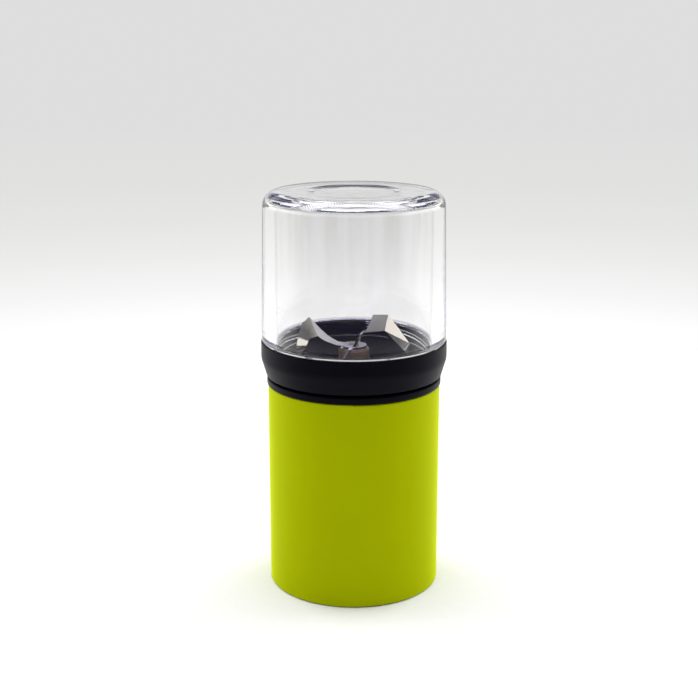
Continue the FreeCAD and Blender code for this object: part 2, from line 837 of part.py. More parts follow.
def sleeve_nut():
    bottom = boss_bottom - HUB_NUT_THICKNESS
    nut = hexagon(hub_nut_flats, bottom, boss_bottom)
    return nut.cut(disc(hub_thread_radius + ASSEMBLY_FIT, bottom, boss_bottom))


def bushing(bottom):
    outer = hub_bore_radius - ASSEMBLY_FIT
    return ring(outer, SHAFT_RADIUS + RUNNING_FIT, bottom, bottom + BUSHING_LENGTH)


def upper_bushing():
    return bushing(hub_top - SHAFT_SEAL_DROP - SHAFT_SEAL_LENGTH - SEAT_GAP - BUSHING_LENGTH)


def lower_bushing():
    return bushing(hub_bottom)


def shaft_seal():
    top = hub_top - SHAFT_SEAL_DROP
    outer = hub_bore_radius - ASSEMBLY_FIT
    return ring(outer, SHAFT_RADIUS + RUNNING_FIT, top - SHAFT_SEAL_LENGTH, top)


def shaft_clip_levels():
    top = hub_bottom - SEAT_GAP
    return top - CLIP_THICKNESS, top


def blade_shaft():
    bottom, top = shaft_clip_levels()
    stem = disc(SHAFT_RADIUS, driven_roof, washer_bottom)
    groove = ring(SHAFT_RADIUS, SHAFT_RADIUS - CLIP_GROOVE, bottom, top)
    pin = disc(shaft_pin_radius, washer_bottom, plate_top)
    dome = turned((
        (0, plate_top, 0),
        (rivet_radius, plate_top, 0),
        (rivet_radius, plate_top + RIVET_HEIGHT, RIVET_HEIGHT),
        (0, plate_top + RIVET_HEIGHT, 0),
    ))
    return fuse_all([stem.cut(groove), pin, dome])


def retaining_clip():
    bottom, top = shaft_clip_levels()
    clip = open_clip(SHAFT_RADIUS - CLIP_GROOVE, SHAFT_RADIUS + CLIP_RIM, 0, 0)
    clip.translate(V(0, 0, bottom - clip_bottom))
    return clip


def thrust_washer():
    return ring(washer_radius, shaft_pin_radius + ASSEMBLY_FIT, washer_bottom, plate_bottom)


def blade():
    plate = disc(BLADE_PLATE_RADIUS, plate_bottom, plate_top)
    wings = [
        sheet(LEFT_WING_NEAR, LEFT_WING_FAR, BLADE_THICKNESS),
        sheet(STEM_NEAR, STEM_FAR, BLADE_THICKNESS),
        sheet(RIGHT_WING_NEAR, RIGHT_WING_FAR, BLADE_THICKNESS),
    ]
    half = SPUR_WIDTH / 2
    spur_near = [(x - half, y, z) for x, y, z in SPUR_LINE]
    spur_far = [(x + half, y, z) for x, y, z in SPUR_LINE]
    spur = sheet(spur_near, spur_far, BLADE_THICKNESS)
    whole = fuse_all([plate] + wings + [spur, spun(spur, 180)])
    pin_hole = disc(shaft_pin_radius + ASSEMBLY_FIT, plate_bottom, plate_top)
    hub_room = disc(hub_radius + MOVING_GAP, floor_top, plate_bottom)
    rivet_room = disc(rivet_radius + ASSEMBLY_FIT, plate_top, plate_top + RIVET_HEIGHT)
    return cut_all(whole, [pin_hole, hub_room, rivet_room])


# Splined coupling


def spline(gap, bottom, top):
    """Toothed core; gap widens it for the socket that it runs in."""
    core = disc(SPLINE_ROOT_RADIUS + gap, bottom, top)
    half = SPLINE_TOOTH_WIDTH / 2 + gap
    tooth = block((0, SPLINE_TIP_RADIUS + gap), (-half, half), (bottom, top))
    teeth = [spun(tooth, 360 / SPLINE_TEETH * i) for i in range(SPLINE_TEETH)]
    return fuse_all([core] + teeth)


def driven_coupling():
    cup = disc(coupling_radius, driven_bottom, driven_top)
    cup = cup.cut(spline(SPLINE_GAP, driven_bottom, driven_roof))
    return cup.cut(disc(SHAFT_RADIUS + ASSEMBLY_FIT, driven_roof, driven_top))


def drive_coupling():
    bore = disc(MOTOR_SHAFT_RADIUS + ASSEMBLY_FIT, drive_bottom, drive_top)
    return spline(0, drive_bottom, drive_top).cut(bore)


# Motor


def motor_shaft():
    return disc(MOTOR_SHAFT_RADIUS, motor_bottom, drive_top)


def armature_core():
    half = CORE_LENGTH / 2
    low = core_middle - half
    high = core_middle + half
    core = ring(core_radius, MOTOR_SHAFT_RADIUS + ASSEMBLY_FIT, low, high)
    slots = []
    for i in range(CORE_POLES):
        angle = 360 / CORE_POLES * i
        slots.append(disc(core_slot_radius, low, high, *polar(core_slot_circle, angle)))
        mouth = block(
            (core_slot_circle, core_radius + AIR_GAP),
            (-CORE_SLOT_MOUTH / 2, CORE_SLOT_MOUTH / 2),
            (low, high),
        )
        slots.append(spun(mouth, angle))
    return cut_all(core, slots)


def armature_windings():
    half = CORE_LENGTH / 2
    low = core_middle - half
    high = core_middle + half
    outer = core_slot_circle + core_slot_radius
    inner = core_slot_circle - core_slot_radius
    ends = [ring(outer, inner, low - WINDING_END, low), ring(outer, inner, high, high + WINDING_END)]
    angles = [360 / CORE_POLES * i for i in range(CORE_POLES)]
    sides = discs_on_circle(core_slot_radius - ASSEMBLY_FIT, core_slot_circle, angles, low, high)
    return fuse_all(ends + sides)


def commutator():
    bottom = commutator_top - COMMUTATOR_LENGTH
    return ring(COMMUTATOR_RADIUS, MOTOR_SHAFT_RADIUS + ASSEMBLY_FIT, bottom, commutator_top)


def motor_can():
    inner = MOTOR_RADIUS - MOTOR_WALL
    can = disc(MOTOR_RADIUS, motor_bottom, bracket_bottom)
    can = can.cut(disc(inner, motor_bottom, bracket_bottom - MOTOR_WALL))
    can = can.fuse(disc(MOTOR_BOSS_RADIUS, bracket_bottom, deck_bottom))
    bore = disc(MOTOR_BUSHING_RADIUS + ASSEMBLY_FIT, bracket_bottom - MOTOR_WALL, deck_bottom)
    screws = discs_on_circle(
        screw_hole, MOTOR_SCREW_CIRCLE, (0, 180), bracket_bottom - MOTOR_WALL, bracket_bottom
    )
    return cut_all(can, [bore] + screws).removeSplitter()


def motor_magnets():
    outer = MOTOR_RADIUS - MOTOR_WALL - ASSEMBLY_FIT
    low = core_middle - MAGNET_LENGTH / 2
    wedge = Part.makeCylinder(outer, MAGNET_LENGTH, V(0, 0, low), UP, MAGNET_SPAN)
    magnet = wedge.cut(disc(outer - MAGNET_THICKNESS, low, low + MAGNET_LENGTH))
    return [spun(magnet, middle - MAGNET_SPAN / 2) for middle in (0, 180)]


def motor_end_cap():
    outer = MOTOR_RADIUS - MOTOR_WALL - ASSEMBLY_FIT
    cap = disc(outer, motor_bottom, motor_bottom + MOTOR_CAP_THICKNESS)
    seat = disc(MOTOR_BUSHING_RADIUS + ASSEMBLY_FIT, motor_bottom, motor_bottom + MOTOR_CAP_THICKNESS)
    slots = [terminal_block(side, ASSEMBLY_FIT) for side in (-1, 1)]
    return cut_all(cap, [seat] + slots)


def motor_bushings():
    upper_bottom = deck_bottom - MOTOR_BUSHING_LENGTH
    inner = MOTOR_SHAFT_RADIUS + RUNNING_FIT
    upper = ring(MOTOR_BUSHING_RADIUS, inner, upper_bottom, deck_bottom)
    lower = ring(MOTOR_BUSHING_RADIUS, inner, motor_bottom, motor_bottom + MOTOR_CAP_THICKNESS)
    return [upper, lower]


def brush_span():
    inner = COMMUTATOR_RADIUS + RUNNING_FIT
    return inner, MOTOR_RADIUS - MOTOR_WALL - MAGNET_THICKNESS


def terminal_block(side, gap):
    """Flat tab through the end cap on one side, up beside the brush."""
    inner, outer = brush_span()
    x = (outer - gap, outer + TERMINAL_THICKNESS + gap)
    if side < 0:
        x = (-x[1], -x[0])
    half = TERMINAL_WIDTH / 2 + gap
    top = commutator_top - COMMUTATOR_LENGTH / 2 + BRUSH_HEIGHT / 2
    return block(x, (-half, half), (terminal_bottom, top))


def motor_terminals():
    return [terminal_block(side, 0) for side in (-1, 1)]


def motor_brushes():
    inner, outer = brush_span()
    middle = commutator_top - COMMUTATOR_LENGTH / 2
    half = BRUSH_WIDTH / 2
    levels = (middle - BRUSH_HEIGHT / 2, middle + BRUSH_HEIGHT / 2)
    brush = block((0, outer), (-half, half), levels)
    brush = brush.cut(disc(inner, *levels))
    return [brush, spun(brush, 180)]


def motor_screws():
    return [
        countersunk_screw(MOTOR_SCREW_CIRCLE, angle, deck_bottom, -1, MOTOR_SCREW_GRIP)
        for angle in (0, 180)
    ]


# Cells and electronics


def battery_cells():
    crown = CELL_RADIUS / 2
    cells = []
    for angle in CELL_ANGLES:
        x, y = polar(cell_circle, angle)
        can = disc(CELL_RADIUS, cell_bottom, cell_top - TAB_THICKNESS, x, y)
        cells.append(can.fuse(disc(crown, cell_top - TAB_THICKNESS, cell_top, x, y)).removeSplitter())
    return cells


def cell_tray():
    plate = disc(skirt_radius, cover_top, tray_top)
    cups = []
    bores = []
    for angle in CELL_ANGLES:
        x, y = polar(cell_circle, angle)
        bore = CELL_RADIUS + ASSEMBLY_FIT
        cups.append(disc(bore + TRAY_CUP_WALL, tray_top, tray_top + TRAY_CUP_HEIGHT, x, y))
        bores.append(disc(bore, tray_top, tray_top + TRAY_CUP_HEIGHT, x, y))
    outside = ring(2 * SLEEVE_RADIUS, skirt_radius, tray_top, tray_top + TRAY_CUP_HEIGHT)
    half = BOARD_WIDTH / 2
    rail = block(
        (-half, half),
        (board_front - BOARD_SLOT_WALL, board_back + BOARD_SLOT_WALL),
        (tray_top, tray_top + BOARD_SLOT_HEIGHT),
    )
    slot = board_block(ASSEMBLY_FIT, tray_top)
    holes = discs_on_circle(screw_hole, post_circle, POST_ANGLES, cover_top, tray_top)
    bridge = bottom_tab()
    return cut_all(fuse_all([plate] + cups + [rail]), bores + [outside, slot, bridge] + holes)


def bottom_tab():
    """Nickel strip that joins the two cells under their lower ends."""
    (x1, y1), (x2, y2) = [polar(cell_circle, angle) for angle in CELL_ANGLES]
    middle = (y1 + y2) / 2
    return block(
        (min(x1, x2), max(x1, x2)),
        (middle - TAB_WIDTH / 2, middle + TAB_WIDTH / 2),
        (tray_top, tray_top + TAB_THICKNESS),
    )


def battery_tabs():
    tops = []
    for angle in CELL_ANGLES:
        x, y = polar(cell_circle, angle)
        half = TAB_WIDTH / 2
        span = (y - half, y + CELL_RADIUS + TAB_TONGUE)
        tops.append(block((x - half, x + half), span, (cell_top, cell_top + TAB_THICKNESS)))
    return [bottom_tab()] + tops


def cell_pads():
    return discs_on_circle(
        CELL_RADIUS, cell_circle, CELL_ANGLES, cell_top + TAB_THICKNESS, bracket_bottom
    )


def board_block(gap, bottom):
    half = BOARD_WIDTH / 2 + gap
    return block((-half, half), (board_front - gap, board_back + gap), (bottom, tray_top + BOARD_HEIGHT))


def control_board():
    return board_block(0, tray_top)


def board_part(middle, height, width, length, thickness):
    return block(
        (middle - width / 2, middle + width / 2),
        (board_front - thickness, board_front),
        (tray_top + height - length / 2, tray_top + height + length / 2),
    )


def board_parts():
    chips = [board_part(*row) for row in BOARD_CHIPS]
    return chips + [board_part(0, height, *LEAD_BLOCK) for height in LEAD_BLOCK_HEIGHTS]


def lead(points):
    """Insulated wire on straight runs joined by tangent arcs."""
    edges = []
    start = points[0]
    for i in range(1, len(points) - 1):
        back = points[i - 1] - points[i]
        ahead = points[i + 1] - points[i]
        reach = LEAD_BEND * min(back.Length, ahead.Length)
        half = back.getAngle(ahead) / 2
        radius = reach * math.tan(half)
        back.normalize()
        ahead.normalize()
        inwards = (back + ahead).normalize()
        middle = points[i] + inwards * (radius / math.sin(half) - radius)
        edges.append(Part.makeLine(start, points[i] + back * reach))
        start = points[i] + ahead * reach
        edges.append(Part.Arc(points[i] + back * reach, middle, start).toShape())
    edges.append(Part.makeLine(start, points[-1]))
    section = Part.Wire(Part.makeCircle(LEAD_RADIUS, points[0], points[1] - points[0]))
    return Part.Wire(edges).makePipeShell([section], True, False)


def lead_pair(route, spread, block_height):
    """Two mirrored leads that end on a terminal block of the board, spread apart by twice spread."""
    block_face = board_front - LEAD_BLOCK[2]
    height = tray_top + block_height
    tail = [V(spread, block_face - LEAD_DROP, height), V(spread, block_face, height)]
    right = route + tail
    left = [V(-point.x, point.y, point.z) for point in right]
    return [lead(right), lead(left)]


def motor_leads():
    x = brush_span()[1] + TERMINAL_THICKNESS / 2
    route = [V(x, 0, terminal_bottom), V(x, 0, terminal_bottom - LEAD_DROP)]
    return lead_pair(route, MOTOR_LEAD_SPREAD, LEAD_BLOCK_HEIGHTS[0])


def cell_leads():
    x, y = polar(cell_circle, CELL_ANGLES[1])
    y += CELL_RADIUS + TAB_TONGUE / 2
    route = [V(x, y, cell_top), V(x, y, motor_bottom)]
    return lead_pair(route, CELL_LEAD_SPREAD, LEAD_BLOCK_HEIGHTS[1])


def switch_leads():
    y = -leg_circle + SWITCH_WIDTH / 2
    height = switch_top - SWITCH_HEIGHT / 2
    route = [
        V(SWITCH_LEAD_SPREAD, y, height),
        V(SWITCH_LEAD_SPREAD, y + LEAD_DROP, height),
        V(SWITCH_LEAD_SPREAD, y + LEAD_DROP, terminal_bottom - LEAD_DROP),
    ]
    return lead_pair(route, SWITCH_LEAD_SPREAD, LEAD_BLOCK_HEIGHTS[2])


def charging_socket_outline(gap, start, end):
    """Flat-sided oval along +Y, the shape of the socket shell widened by gap."""
    half = SOCKET_THICKNESS / 2 + gap
    straight = SOCKET_WIDTH / 2 - SOCKET_THICKNESS / 2
    body = block((-straight, straight), (start, end), (socket_middle - half, socket_middle + half))
    ends = [
        Part.makeCylinder(half, end - start, V(x, start, socket_middle), V(0, 1, 0))
        for x in (-straight, straight)
    ]
    return fuse_all([body] + ends)


def charging_socket():
    shell = charging_socket_outline(0, board_back, socket_mouth)
    hollow = charging_socket_outline(-SOCKET_WALL, board_back + SOCKET_WALL, socket_mouth)
    straight = SOCKET_WIDTH / 2 - SOCKET_THICKNESS / 2
    half = SOCKET_TONGUE / 2
    tongue = block(
        (-straight, straight),
        (board_back, socket_mouth - SOCKET_BELOW_SKIN),
        (socket_middle - half, socket_middle + half),
    )
    return shell.cut(hollow).fuse(tongue).removeSplitter()


def light_pin(radius, end):
    start = V(0, board_back, socket_middle + LIGHT_ABOVE_SOCKET)
    return Part.makeCylinder(radius, end - board_back, start, V(0, 1, 0))


def charge_light_pipe():
    return light_pin(LIGHT_RADIUS, SLEEVE_RADIUS)


# Jar


def jar_gasket():
    outer = neck_radius
    return ring(outer, outer - GASKET_WIDTH, gasket_bottom, gasket_bottom + GASKET_THICKNESS)


def jar():
    ceiling = jar_top - JAR_TOP_THICKNESS
    recess_floor = jar_top - RECESS_DEPTH
    body = turned((
        (neck_bore, neck_bottom, NECK_EDGE),
        (neck_radius, neck_bottom, NECK_EDGE),
        (neck_radius, jar_bottom, 0),
        (jar_foot_radius, jar_bottom, JAR_FOOT_EDGE),
        (jar_top_radius, jar_top, JAR_SHOULDER),
        (RECESS_RADIUS, jar_top, RECESS_ROUND),
        (RECESS_RADIUS - RECESS_SLOPE, recess_floor, RECESS_ROUND),
        (0, recess_floor, 0),
        (0, ceiling, 0),
        (jar_bore_radius, ceiling, JAR_CEILING_ROUND),
        (jar_bore_radius, jar_bottom, NECK_EDGE),
        (neck_bore, jar_bottom - NECK_EDGE, NECK_EDGE),
    ))
    turn = 360 / THREAD_STARTS
    ribs = [thread_rib(neck_radius, 1, turn * i) for i in range(THREAD_STARTS)]
    return fuse_all([body] + ribs)


PIECES = (
    jar, jar_gasket, blade_collar, bearing_sleeve, sleeve_nut, upper_bushing, lower_bushing,
    shaft_seal, thrust_washer, blade, blade_shaft, retaining_clip, driven_coupling,
    press_ring, press_leg_clips, press_springs, micro_switch, switch_plunger,
    body_sleeve, top_deck, deck_seal, deck_screws, deck_shaft_seal, bottom_cover, bottom_screws,
    foot_ring, motor_bracket, tie_posts, cell_tray,
    drive_coupling, motor_shaft, armature_core, armature_windings, commutator, motor_can,
    motor_magnets, motor_end_cap, motor_bushings, motor_terminals, motor_brushes, motor_screws,
    battery_cells, battery_tabs, cell_pads, control_board, board_parts, charging_socket,
    charge_light_pipe, motor_leads, cell_leads, switch_leads,
)

os.makedirs("parts", exist_ok=True)
for piece in PIECES:
    made = piece()
    if isinstance(made, list):
        made = Part.makeCompound(made)
    solids = made.Solids
    print(piece.__name__, len(solids), round(sum(s.Volume for s in solids), 1), made.isValid())
    made.exportStep("parts/" + piece.__name__ + ".step")
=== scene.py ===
# %% [markdown]
# # A cordless blade grinder
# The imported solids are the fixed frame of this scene. The lesson gives that frame a camera, a pale
# table, soft light and the real finishes, and makes anew the pieces whose looks need more than the
# solids hold: the clear jar, the polished blade, the screws, the press springs and the contacts of
# the charging socket.

# %% Load the frame
import math

import bmesh
import bpy
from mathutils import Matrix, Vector


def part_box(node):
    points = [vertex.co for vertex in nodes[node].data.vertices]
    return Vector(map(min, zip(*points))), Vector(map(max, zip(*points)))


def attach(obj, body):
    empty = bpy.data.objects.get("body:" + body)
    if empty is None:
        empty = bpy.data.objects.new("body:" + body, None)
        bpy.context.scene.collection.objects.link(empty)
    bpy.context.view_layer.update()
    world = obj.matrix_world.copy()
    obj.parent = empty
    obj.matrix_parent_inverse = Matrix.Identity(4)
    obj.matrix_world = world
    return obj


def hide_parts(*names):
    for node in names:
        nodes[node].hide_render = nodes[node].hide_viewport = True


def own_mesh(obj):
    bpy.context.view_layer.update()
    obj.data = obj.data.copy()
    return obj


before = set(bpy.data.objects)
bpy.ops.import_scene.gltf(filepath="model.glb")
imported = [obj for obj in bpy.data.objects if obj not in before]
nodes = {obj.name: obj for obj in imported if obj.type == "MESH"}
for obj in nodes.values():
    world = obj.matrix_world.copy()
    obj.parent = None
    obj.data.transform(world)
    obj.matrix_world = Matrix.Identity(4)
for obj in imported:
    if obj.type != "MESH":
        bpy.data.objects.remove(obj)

MM = 0.001
scene = bpy.context.scene
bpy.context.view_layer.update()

# %% [markdown]
# ## Camera
# The picture was taken from half a metre in front and a little above, looking down by about
# fourteen degrees. The lens follows from how many pixels one radian covers in the square picture.

# %% Camera
PICTURE_SIDE = 698
FOCAL_PIXELS = 1282.3
SENSOR_WIDTH = 36.0
NEAREST_SEEN = 0.01
CAMERA_PLACE = (-2.0 * MM, -505.6 * MM, 226.4 * MM)
CAMERA_DOWN = 14.27


def put(name, data):
    """A new object in the scene."""
    thing = bpy.data.objects.new(name, data)
    scene.collection.objects.link(thing)
    return thing


camera_data = bpy.data.cameras.new("front_camera")
camera_data.sensor_width = SENSOR_WIDTH
camera_data.lens = SENSOR_WIDTH * FOCAL_PIXELS / PICTURE_SIDE
camera_data.clip_start = NEAREST_SEEN
camera = put("front_camera", camera_data)
camera.location = CAMERA_PLACE
camera.rotation_euler = (math.radians(90 - CAMERA_DOWN), 0, 0)
scene.camera = camera
scene.view_settings.view_transform = "Standard"
print("lens", round(camera_data.lens, 2), "mm")

# %% [markdown]
# ## Three small helpers
# Colours are written as the hex values that a colour picker shows, and one function turns them to
# the linear values that shaders work in. Another function adds a node, sets it and links it, for
# materials and geometry alike. The third starts a material and gives the place on the piece, which
# every pattern follows. Two settings that come back often have names: a smooth step, and a mix of
# colours.

# %% Helpers
SMOOTH = {"interpolation_type": "SMOOTHSTEP"}
COLOUR = {"data_type": "RGBA"}


def linear(hex_colour):
    values = [int(hex_colour[i:i + 2], 16) / 255 for i in (1, 3, 5)]
    return tuple(v / 12.92 if v <= 0.04045 else ((v + 0.055) / 1.055) ** 2.4 for v in values) + (1.0,)


def add(tree, kind, inputs=None, **settings):
    """A new node; inputs maps a socket's name or number to a value or to the socket that feeds it."""
    node = tree.nodes.new(kind)
    for name, value in settings.items():
        setattr(node, name, value)
    for key, value in (inputs or {}).items():
        if isinstance(value, bpy.types.NodeSocket):
            tree.links.new(value, node.inputs[key])
        else:
            node.inputs[key].default_value = value
    return node


def new_material(name):
    material = bpy.data.materials.new(name)
    material.use_nodes = True
    tree = material.node_tree
    tree.nodes.clear()
    print("finish:", name)
    return material, tree, add(tree, "ShaderNodeTexCoord").outputs["Object"]


# %% [markdown]
# ## Table
# The grinder stands on white paper that runs back into a pale grey sweep. One wide disc is the
# paper. Close to the grinder it is plain white and takes the shadow and the green glow of the
# sleeve. Further out, what the eye sees of it fades to the grey of the sweep, by the distance from
# the middle, so that it looks the same from every side. Only in mirrored light does the paper end in
# front, where the dim room of the viewer begins: close by for light that is mirrored once, and
# further out for light that is mirrored again inside the jar.

# %% Table paper
SWEEP_RANGE = 2.6
SWEEP_TONES = (
    (0.197, "#ffffff"),
    (0.237, "#f6f6f6"),
    (0.3, "#ededec"),
    (0.385, "#e6e6e4"),
    (0.537, "#e1e2e0"),
    (0.95, "#dedede"),
)
PAPER_GRAIN, PAPER_DARK, PAPER_LIGHT = 3 * MM, 0.74, 0.78

paper, tree, place = new_material("white_paper")
distance = add(tree, "ShaderNodeVectorMath", {0: place}, operation="LENGTH").outputs["Value"]
share = add(tree, "ShaderNodeMath", {0: distance, 1: SWEEP_RANGE}, operation="DIVIDE")
tones = add(tree, "ShaderNodeValToRGB", {"Fac": share.outputs[0]})
ramp = tones.color_ramp
while len(ramp.elements) < len(SWEEP_TONES):
    ramp.elements.new(0.5)
for element, (position, tone) in zip(ramp.elements, SWEEP_TONES):
    element.position = position
    element.color = linear(tone)
grain = add(tree, "ShaderNodeTexNoise", {"Vector": place, "Scale": 1 / PAPER_GRAIN, "Detail": 2.0})
fibre = add(tree, "ShaderNodeMapRange", {
    "Value": grain.outputs["Fac"], "To Min": PAPER_DARK, "To Max": PAPER_LIGHT,
})

# %% Table as it is seen
SWEEP_START, SWEEP_FULL = 0.34, 0.47
PAPER_ENDS = ((0.0, -0.25), (-0.3, -0.5))
FRONT_FLOOR = "#5c5872"

path = add(tree, "ShaderNodeLightPath").outputs
seen = path["Is Camera Ray"]
for ray in ("Is Glossy Ray", "Is Transmission Ray"):
    seen = add(tree, "ShaderNodeMath", {0: seen, 1: path[ray]}, operation="MAXIMUM").outputs[0]
far = add(tree, "ShaderNodeMapRange", {
    "Value": distance, "From Min": SWEEP_START, "From Max": SWEEP_FULL,
}, **SMOOTH)
plain = add(tree, "ShaderNodeMath", {0: seen, 1: far.outputs[0]}, operation="MULTIPLY")
across = add(tree, "ShaderNodeSeparateXYZ", {0: place}).outputs["Y"]
near, deep = [add(tree, "ShaderNodeMapRange", {
    "Value": across, "From Min": start, "From Max": end,
}, **SMOOTH).outputs[0] for start, end in PAPER_ENDS]
mirrors = path["Glossy Depth"]
again = add(tree, "ShaderNodeMath", {0: mirrors, 1: 1.0}, operation="SUBTRACT", use_clamp=True)
front = add(tree, "ShaderNodeMix", {0: again.outputs[0], 2: near, 3: deep})
mirrored = add(tree, "ShaderNodeMath", {
    0: front.outputs[0], 1: mirrors,
}, operation="MULTIPLY", use_clamp=True)
shown = add(tree, "ShaderNodeMix", {
    0: mirrored.outputs[0], 6: tones.outputs["Color"], 7: linear(FRONT_FLOOR),
}, **COLOUR)
white = add(tree, "ShaderNodeBsdfDiffuse", {"Color": fibre.outputs[0]})
glow = add(tree, "ShaderNodeEmission", {"Color": shown.outputs[2], "Strength": 1.0})
mixed = add(tree, "ShaderNodeMixShader", {
    0: plain.outputs[0], 1: white.outputs[0], 2: glow.outputs[0],
})
add(tree, "ShaderNodeOutputMaterial", {"Surface": mixed.outputs[0]})

# %% Table disc
TABLE_RADIUS, TABLE_SEGMENTS = 8.0, 96

table_mesh = bpy.data.meshes.new("table")
builder = bmesh.new()
bmesh.ops.create_circle(builder, cap_ends=True, segments=TABLE_SEGMENTS, radius=TABLE_RADIUS)
builder.to_mesh(table_mesh)
builder.free()
table_mesh.materials.append(paper)
table = put("table", table_mesh)
print("table reaches", TABLE_RADIUS, "m out")

# %% [markdown]
# ## The room
# The picture is lit from both sides and from above by wide soft sources that stand a little behind
# the grinder, so its edges are bright, and the room on the viewer's side is dim and slightly violet.
# The world is that room. Its even part lights the grinder. Mirrored light meets more: a pale band
# along the sweep, a dark wall above it with a bright window at the back, bright panels at both sides
# and a paler ceiling, which give polished steel its dark and light faces. Light that is mirrored
# again, inside the jar, meets plain white behind and a violet glow in front. Light that comes through
# the jar sees the plain sweep, and the dim room only high up in front. The eye sees the sweep grey in
# every direction. A photograph of a room could stand for all this, but three tables do it without one:
# soft fades along a direction, places that are made of fades, and tones that are mixed by place.

# %% Fades of the room
fades = (
    ("open", "back", -0.92, -0.15),
    ("low", "up", 0.3, 0.08),
    ("wall", "up", 0.17, 0.3),
    ("upper wall", "up", 0.58, 0.8),
    ("ceiling", "up", 0.82, 1.0),
    ("panel start", "aside", 0.42, 0.52),
    ("panel end", "aside", 0.675, 0.655),
    ("outer panel", "aside", 0.88, 0.93),
    ("panel top", "up", 0.5, 0.36),
    ("window foot", "up", 0.33, 0.39),
    ("window top", "up", 0.56, 0.5),
    ("window side", "back", 0.62, 0.72),
)

world = bpy.data.worlds.new("soft_room")
world.use_nodes = True
scene.world = world
tree = world.node_tree
tree.nodes.clear()
ways = add(tree, "ShaderNodeTexCoord").outputs["Generated"]
axes = add(tree, "ShaderNodeSeparateXYZ", {0: ways}).outputs
aside = add(tree, "ShaderNodeMath", {0: axes["X"]}, operation="ABSOLUTE")
path = add(tree, "ShaderNodeLightPath").outputs
known = {"aside": aside.outputs[0], "back": axes["Y"], "up": axes["Z"], "mirrors": path["Glossy Depth"]}
known.update({"through": path["Is Transmission Ray"], "eye": path["Is Camera Ray"]})
for name, way, start, end in fades:
    known[name] = add(tree, "ShaderNodeMapRange", {
        "Value": known[way], "From Min": start, "From Max": end,
    }, **SMOOTH).outputs[0]

# %% Places in the room
FRONT_LIGHT = 0.4
rule = (
    ("lit", "MULTIPLY_ADD", "open", 1 - FRONT_LIGHT, FRONT_LIGHT),
    ("plain", "MAXIMUM", "open", "low"),
    ("inner panel", "MULTIPLY", "panel start", "panel end"),
    ("both panels", "MAXIMUM", "inner panel", "outer panel"),
    ("panels", "MULTIPLY", "both panels", "panel top"),
    ("window height", "MULTIPLY", "window foot", "window top"),
    ("window", "MULTIPLY", "window height", "window side"),
    ("mirrored again", "SUBTRACT", "mirrors", 1.0),
)
for name, operation, *values in rule:
    inputs = {i: known.get(value, value) for i, value in enumerate(values)}
    known[name] = add(tree, "ShaderNodeMath", inputs, operation=operation, use_clamp=True).outputs[0]

# %% Tones of the room
SWEEP_GREY, ROOM_PALE, ROOM_DIM = "#dedede", "#c8c8c8", "#4a4868"
PANEL_GLOW, FRONT_GLOW = (1.35, 1.3, 1.22, 1.0), (0.75, 0.72, 1.6, 1.0)
mixes = (
    ("room", "lit", ROOM_DIM, ROOM_PALE),
    ("view through", "plain", ROOM_DIM, SWEEP_GREY),
    ("with wall", "wall", "#d6d6d6", "#424242"),
    ("with upper wall", "upper wall", "with wall", "#aaa9a4"),
    ("with ceiling", "ceiling", "with upper wall", "#d0d0d0"),
    ("with panels", "panels", "with ceiling", PANEL_GLOW),
    ("with window", "window", "with panels", "#f2f2f2"),
    ("mirrored back", "mirrored again", "with window", "#ffffff"),
    ("mirrored front", "mirrored again", "#4c4a55", FRONT_GLOW),
    ("mirrored room", "open", "mirrored front", "mirrored back"),
    ("room or through", "through", "room", "view through"),
    ("room or mirrored", "mirrors", "room or through", "mirrored room"),
    ("all", "eye", "room or mirrored", SWEEP_GREY),
)
for name, share, *ends in mixes:
    tones = [known[end] if end in known else linear(end) if end[0] == "#" else end for end in ends]
    known[name] = add(tree, "ShaderNodeMix", {
        0: known[share], 6: tones[0], 7: tones[1],
    }, **COLOUR).outputs[2]
light = add(tree, "ShaderNodeBackground", {"Color": known["all"], "Strength": 1.0})
add(tree, "ShaderNodeOutputWorld", {"Surface": light.outputs[0]})
print("room has", len(tree.nodes), "nodes")

# %% [markdown]
# ## Panels
# Two tall panels and one overhead panel give the light its direction. They are not shown in mirrors
# or through the jar, where the room stands for them with softer edges. Light may bounce often, so
# that what runs along inside the jar's thick wall comes out again and does not end in black.

# %% Panels
SIDE_ANGLE = math.radians(120)
SIDE_DISTANCE, SIDE_HEIGHT = 0.95, 0.45
SIDE_AIM = (0, 0, 0.08)
SIDE_SIZE, SIDE_POWER = (0.9, 1.1), 9.0
TOP_PLACE, TOP_AIM = (0, 0.1, 1.25), (0, 0, 0)
TOP_SIZE, TOP_POWER = (1.2, 1.2), 14.0
LIGHT_BOUNCES = 24


def soft_panel(name, place, aim, size, power):
    data = bpy.data.lights.new(name, "AREA")
    data.shape = "RECTANGLE"
    data.size, data.size_y = size
    data.energy = power
    panel = put(name, data)
    panel.location = place
    panel.rotation_euler = (Vector(aim) - Vector(place)).to_track_quat("-Z", "Y").to_euler()
    panel.visible_transmission = False
    panel.visible_glossy = False


sideways, backwards = SIDE_DISTANCE * math.sin(SIDE_ANGLE), -SIDE_DISTANCE * math.cos(SIDE_ANGLE)
for side in (-1, 1):
    soft_panel("side_panel", (side * sideways, backwards, SIDE_HEIGHT), SIDE_AIM, SIDE_SIZE, SIDE_POWER)
soft_panel("top_panel", TOP_PLACE, TOP_AIM, TOP_SIZE, TOP_POWER)
for kind in ("max", "glossy", "transmission"):
    setattr(scene.cycles, kind + "_bounces", LIGHT_BOUNCES)
print("light: one room and three panels")

# %% [markdown]
# ## Three helpers for shapes
# A shape that follows a rule is grown by a geometry tree. One helper makes an empty tree with a named
# input for every size. Another ends a tree: it makes repeated pieces real and coats them. The third
# runs a tree on a line, keeps the result as a plain mesh and throws the tree's own object away, so
# that nothing live is left on the piece.

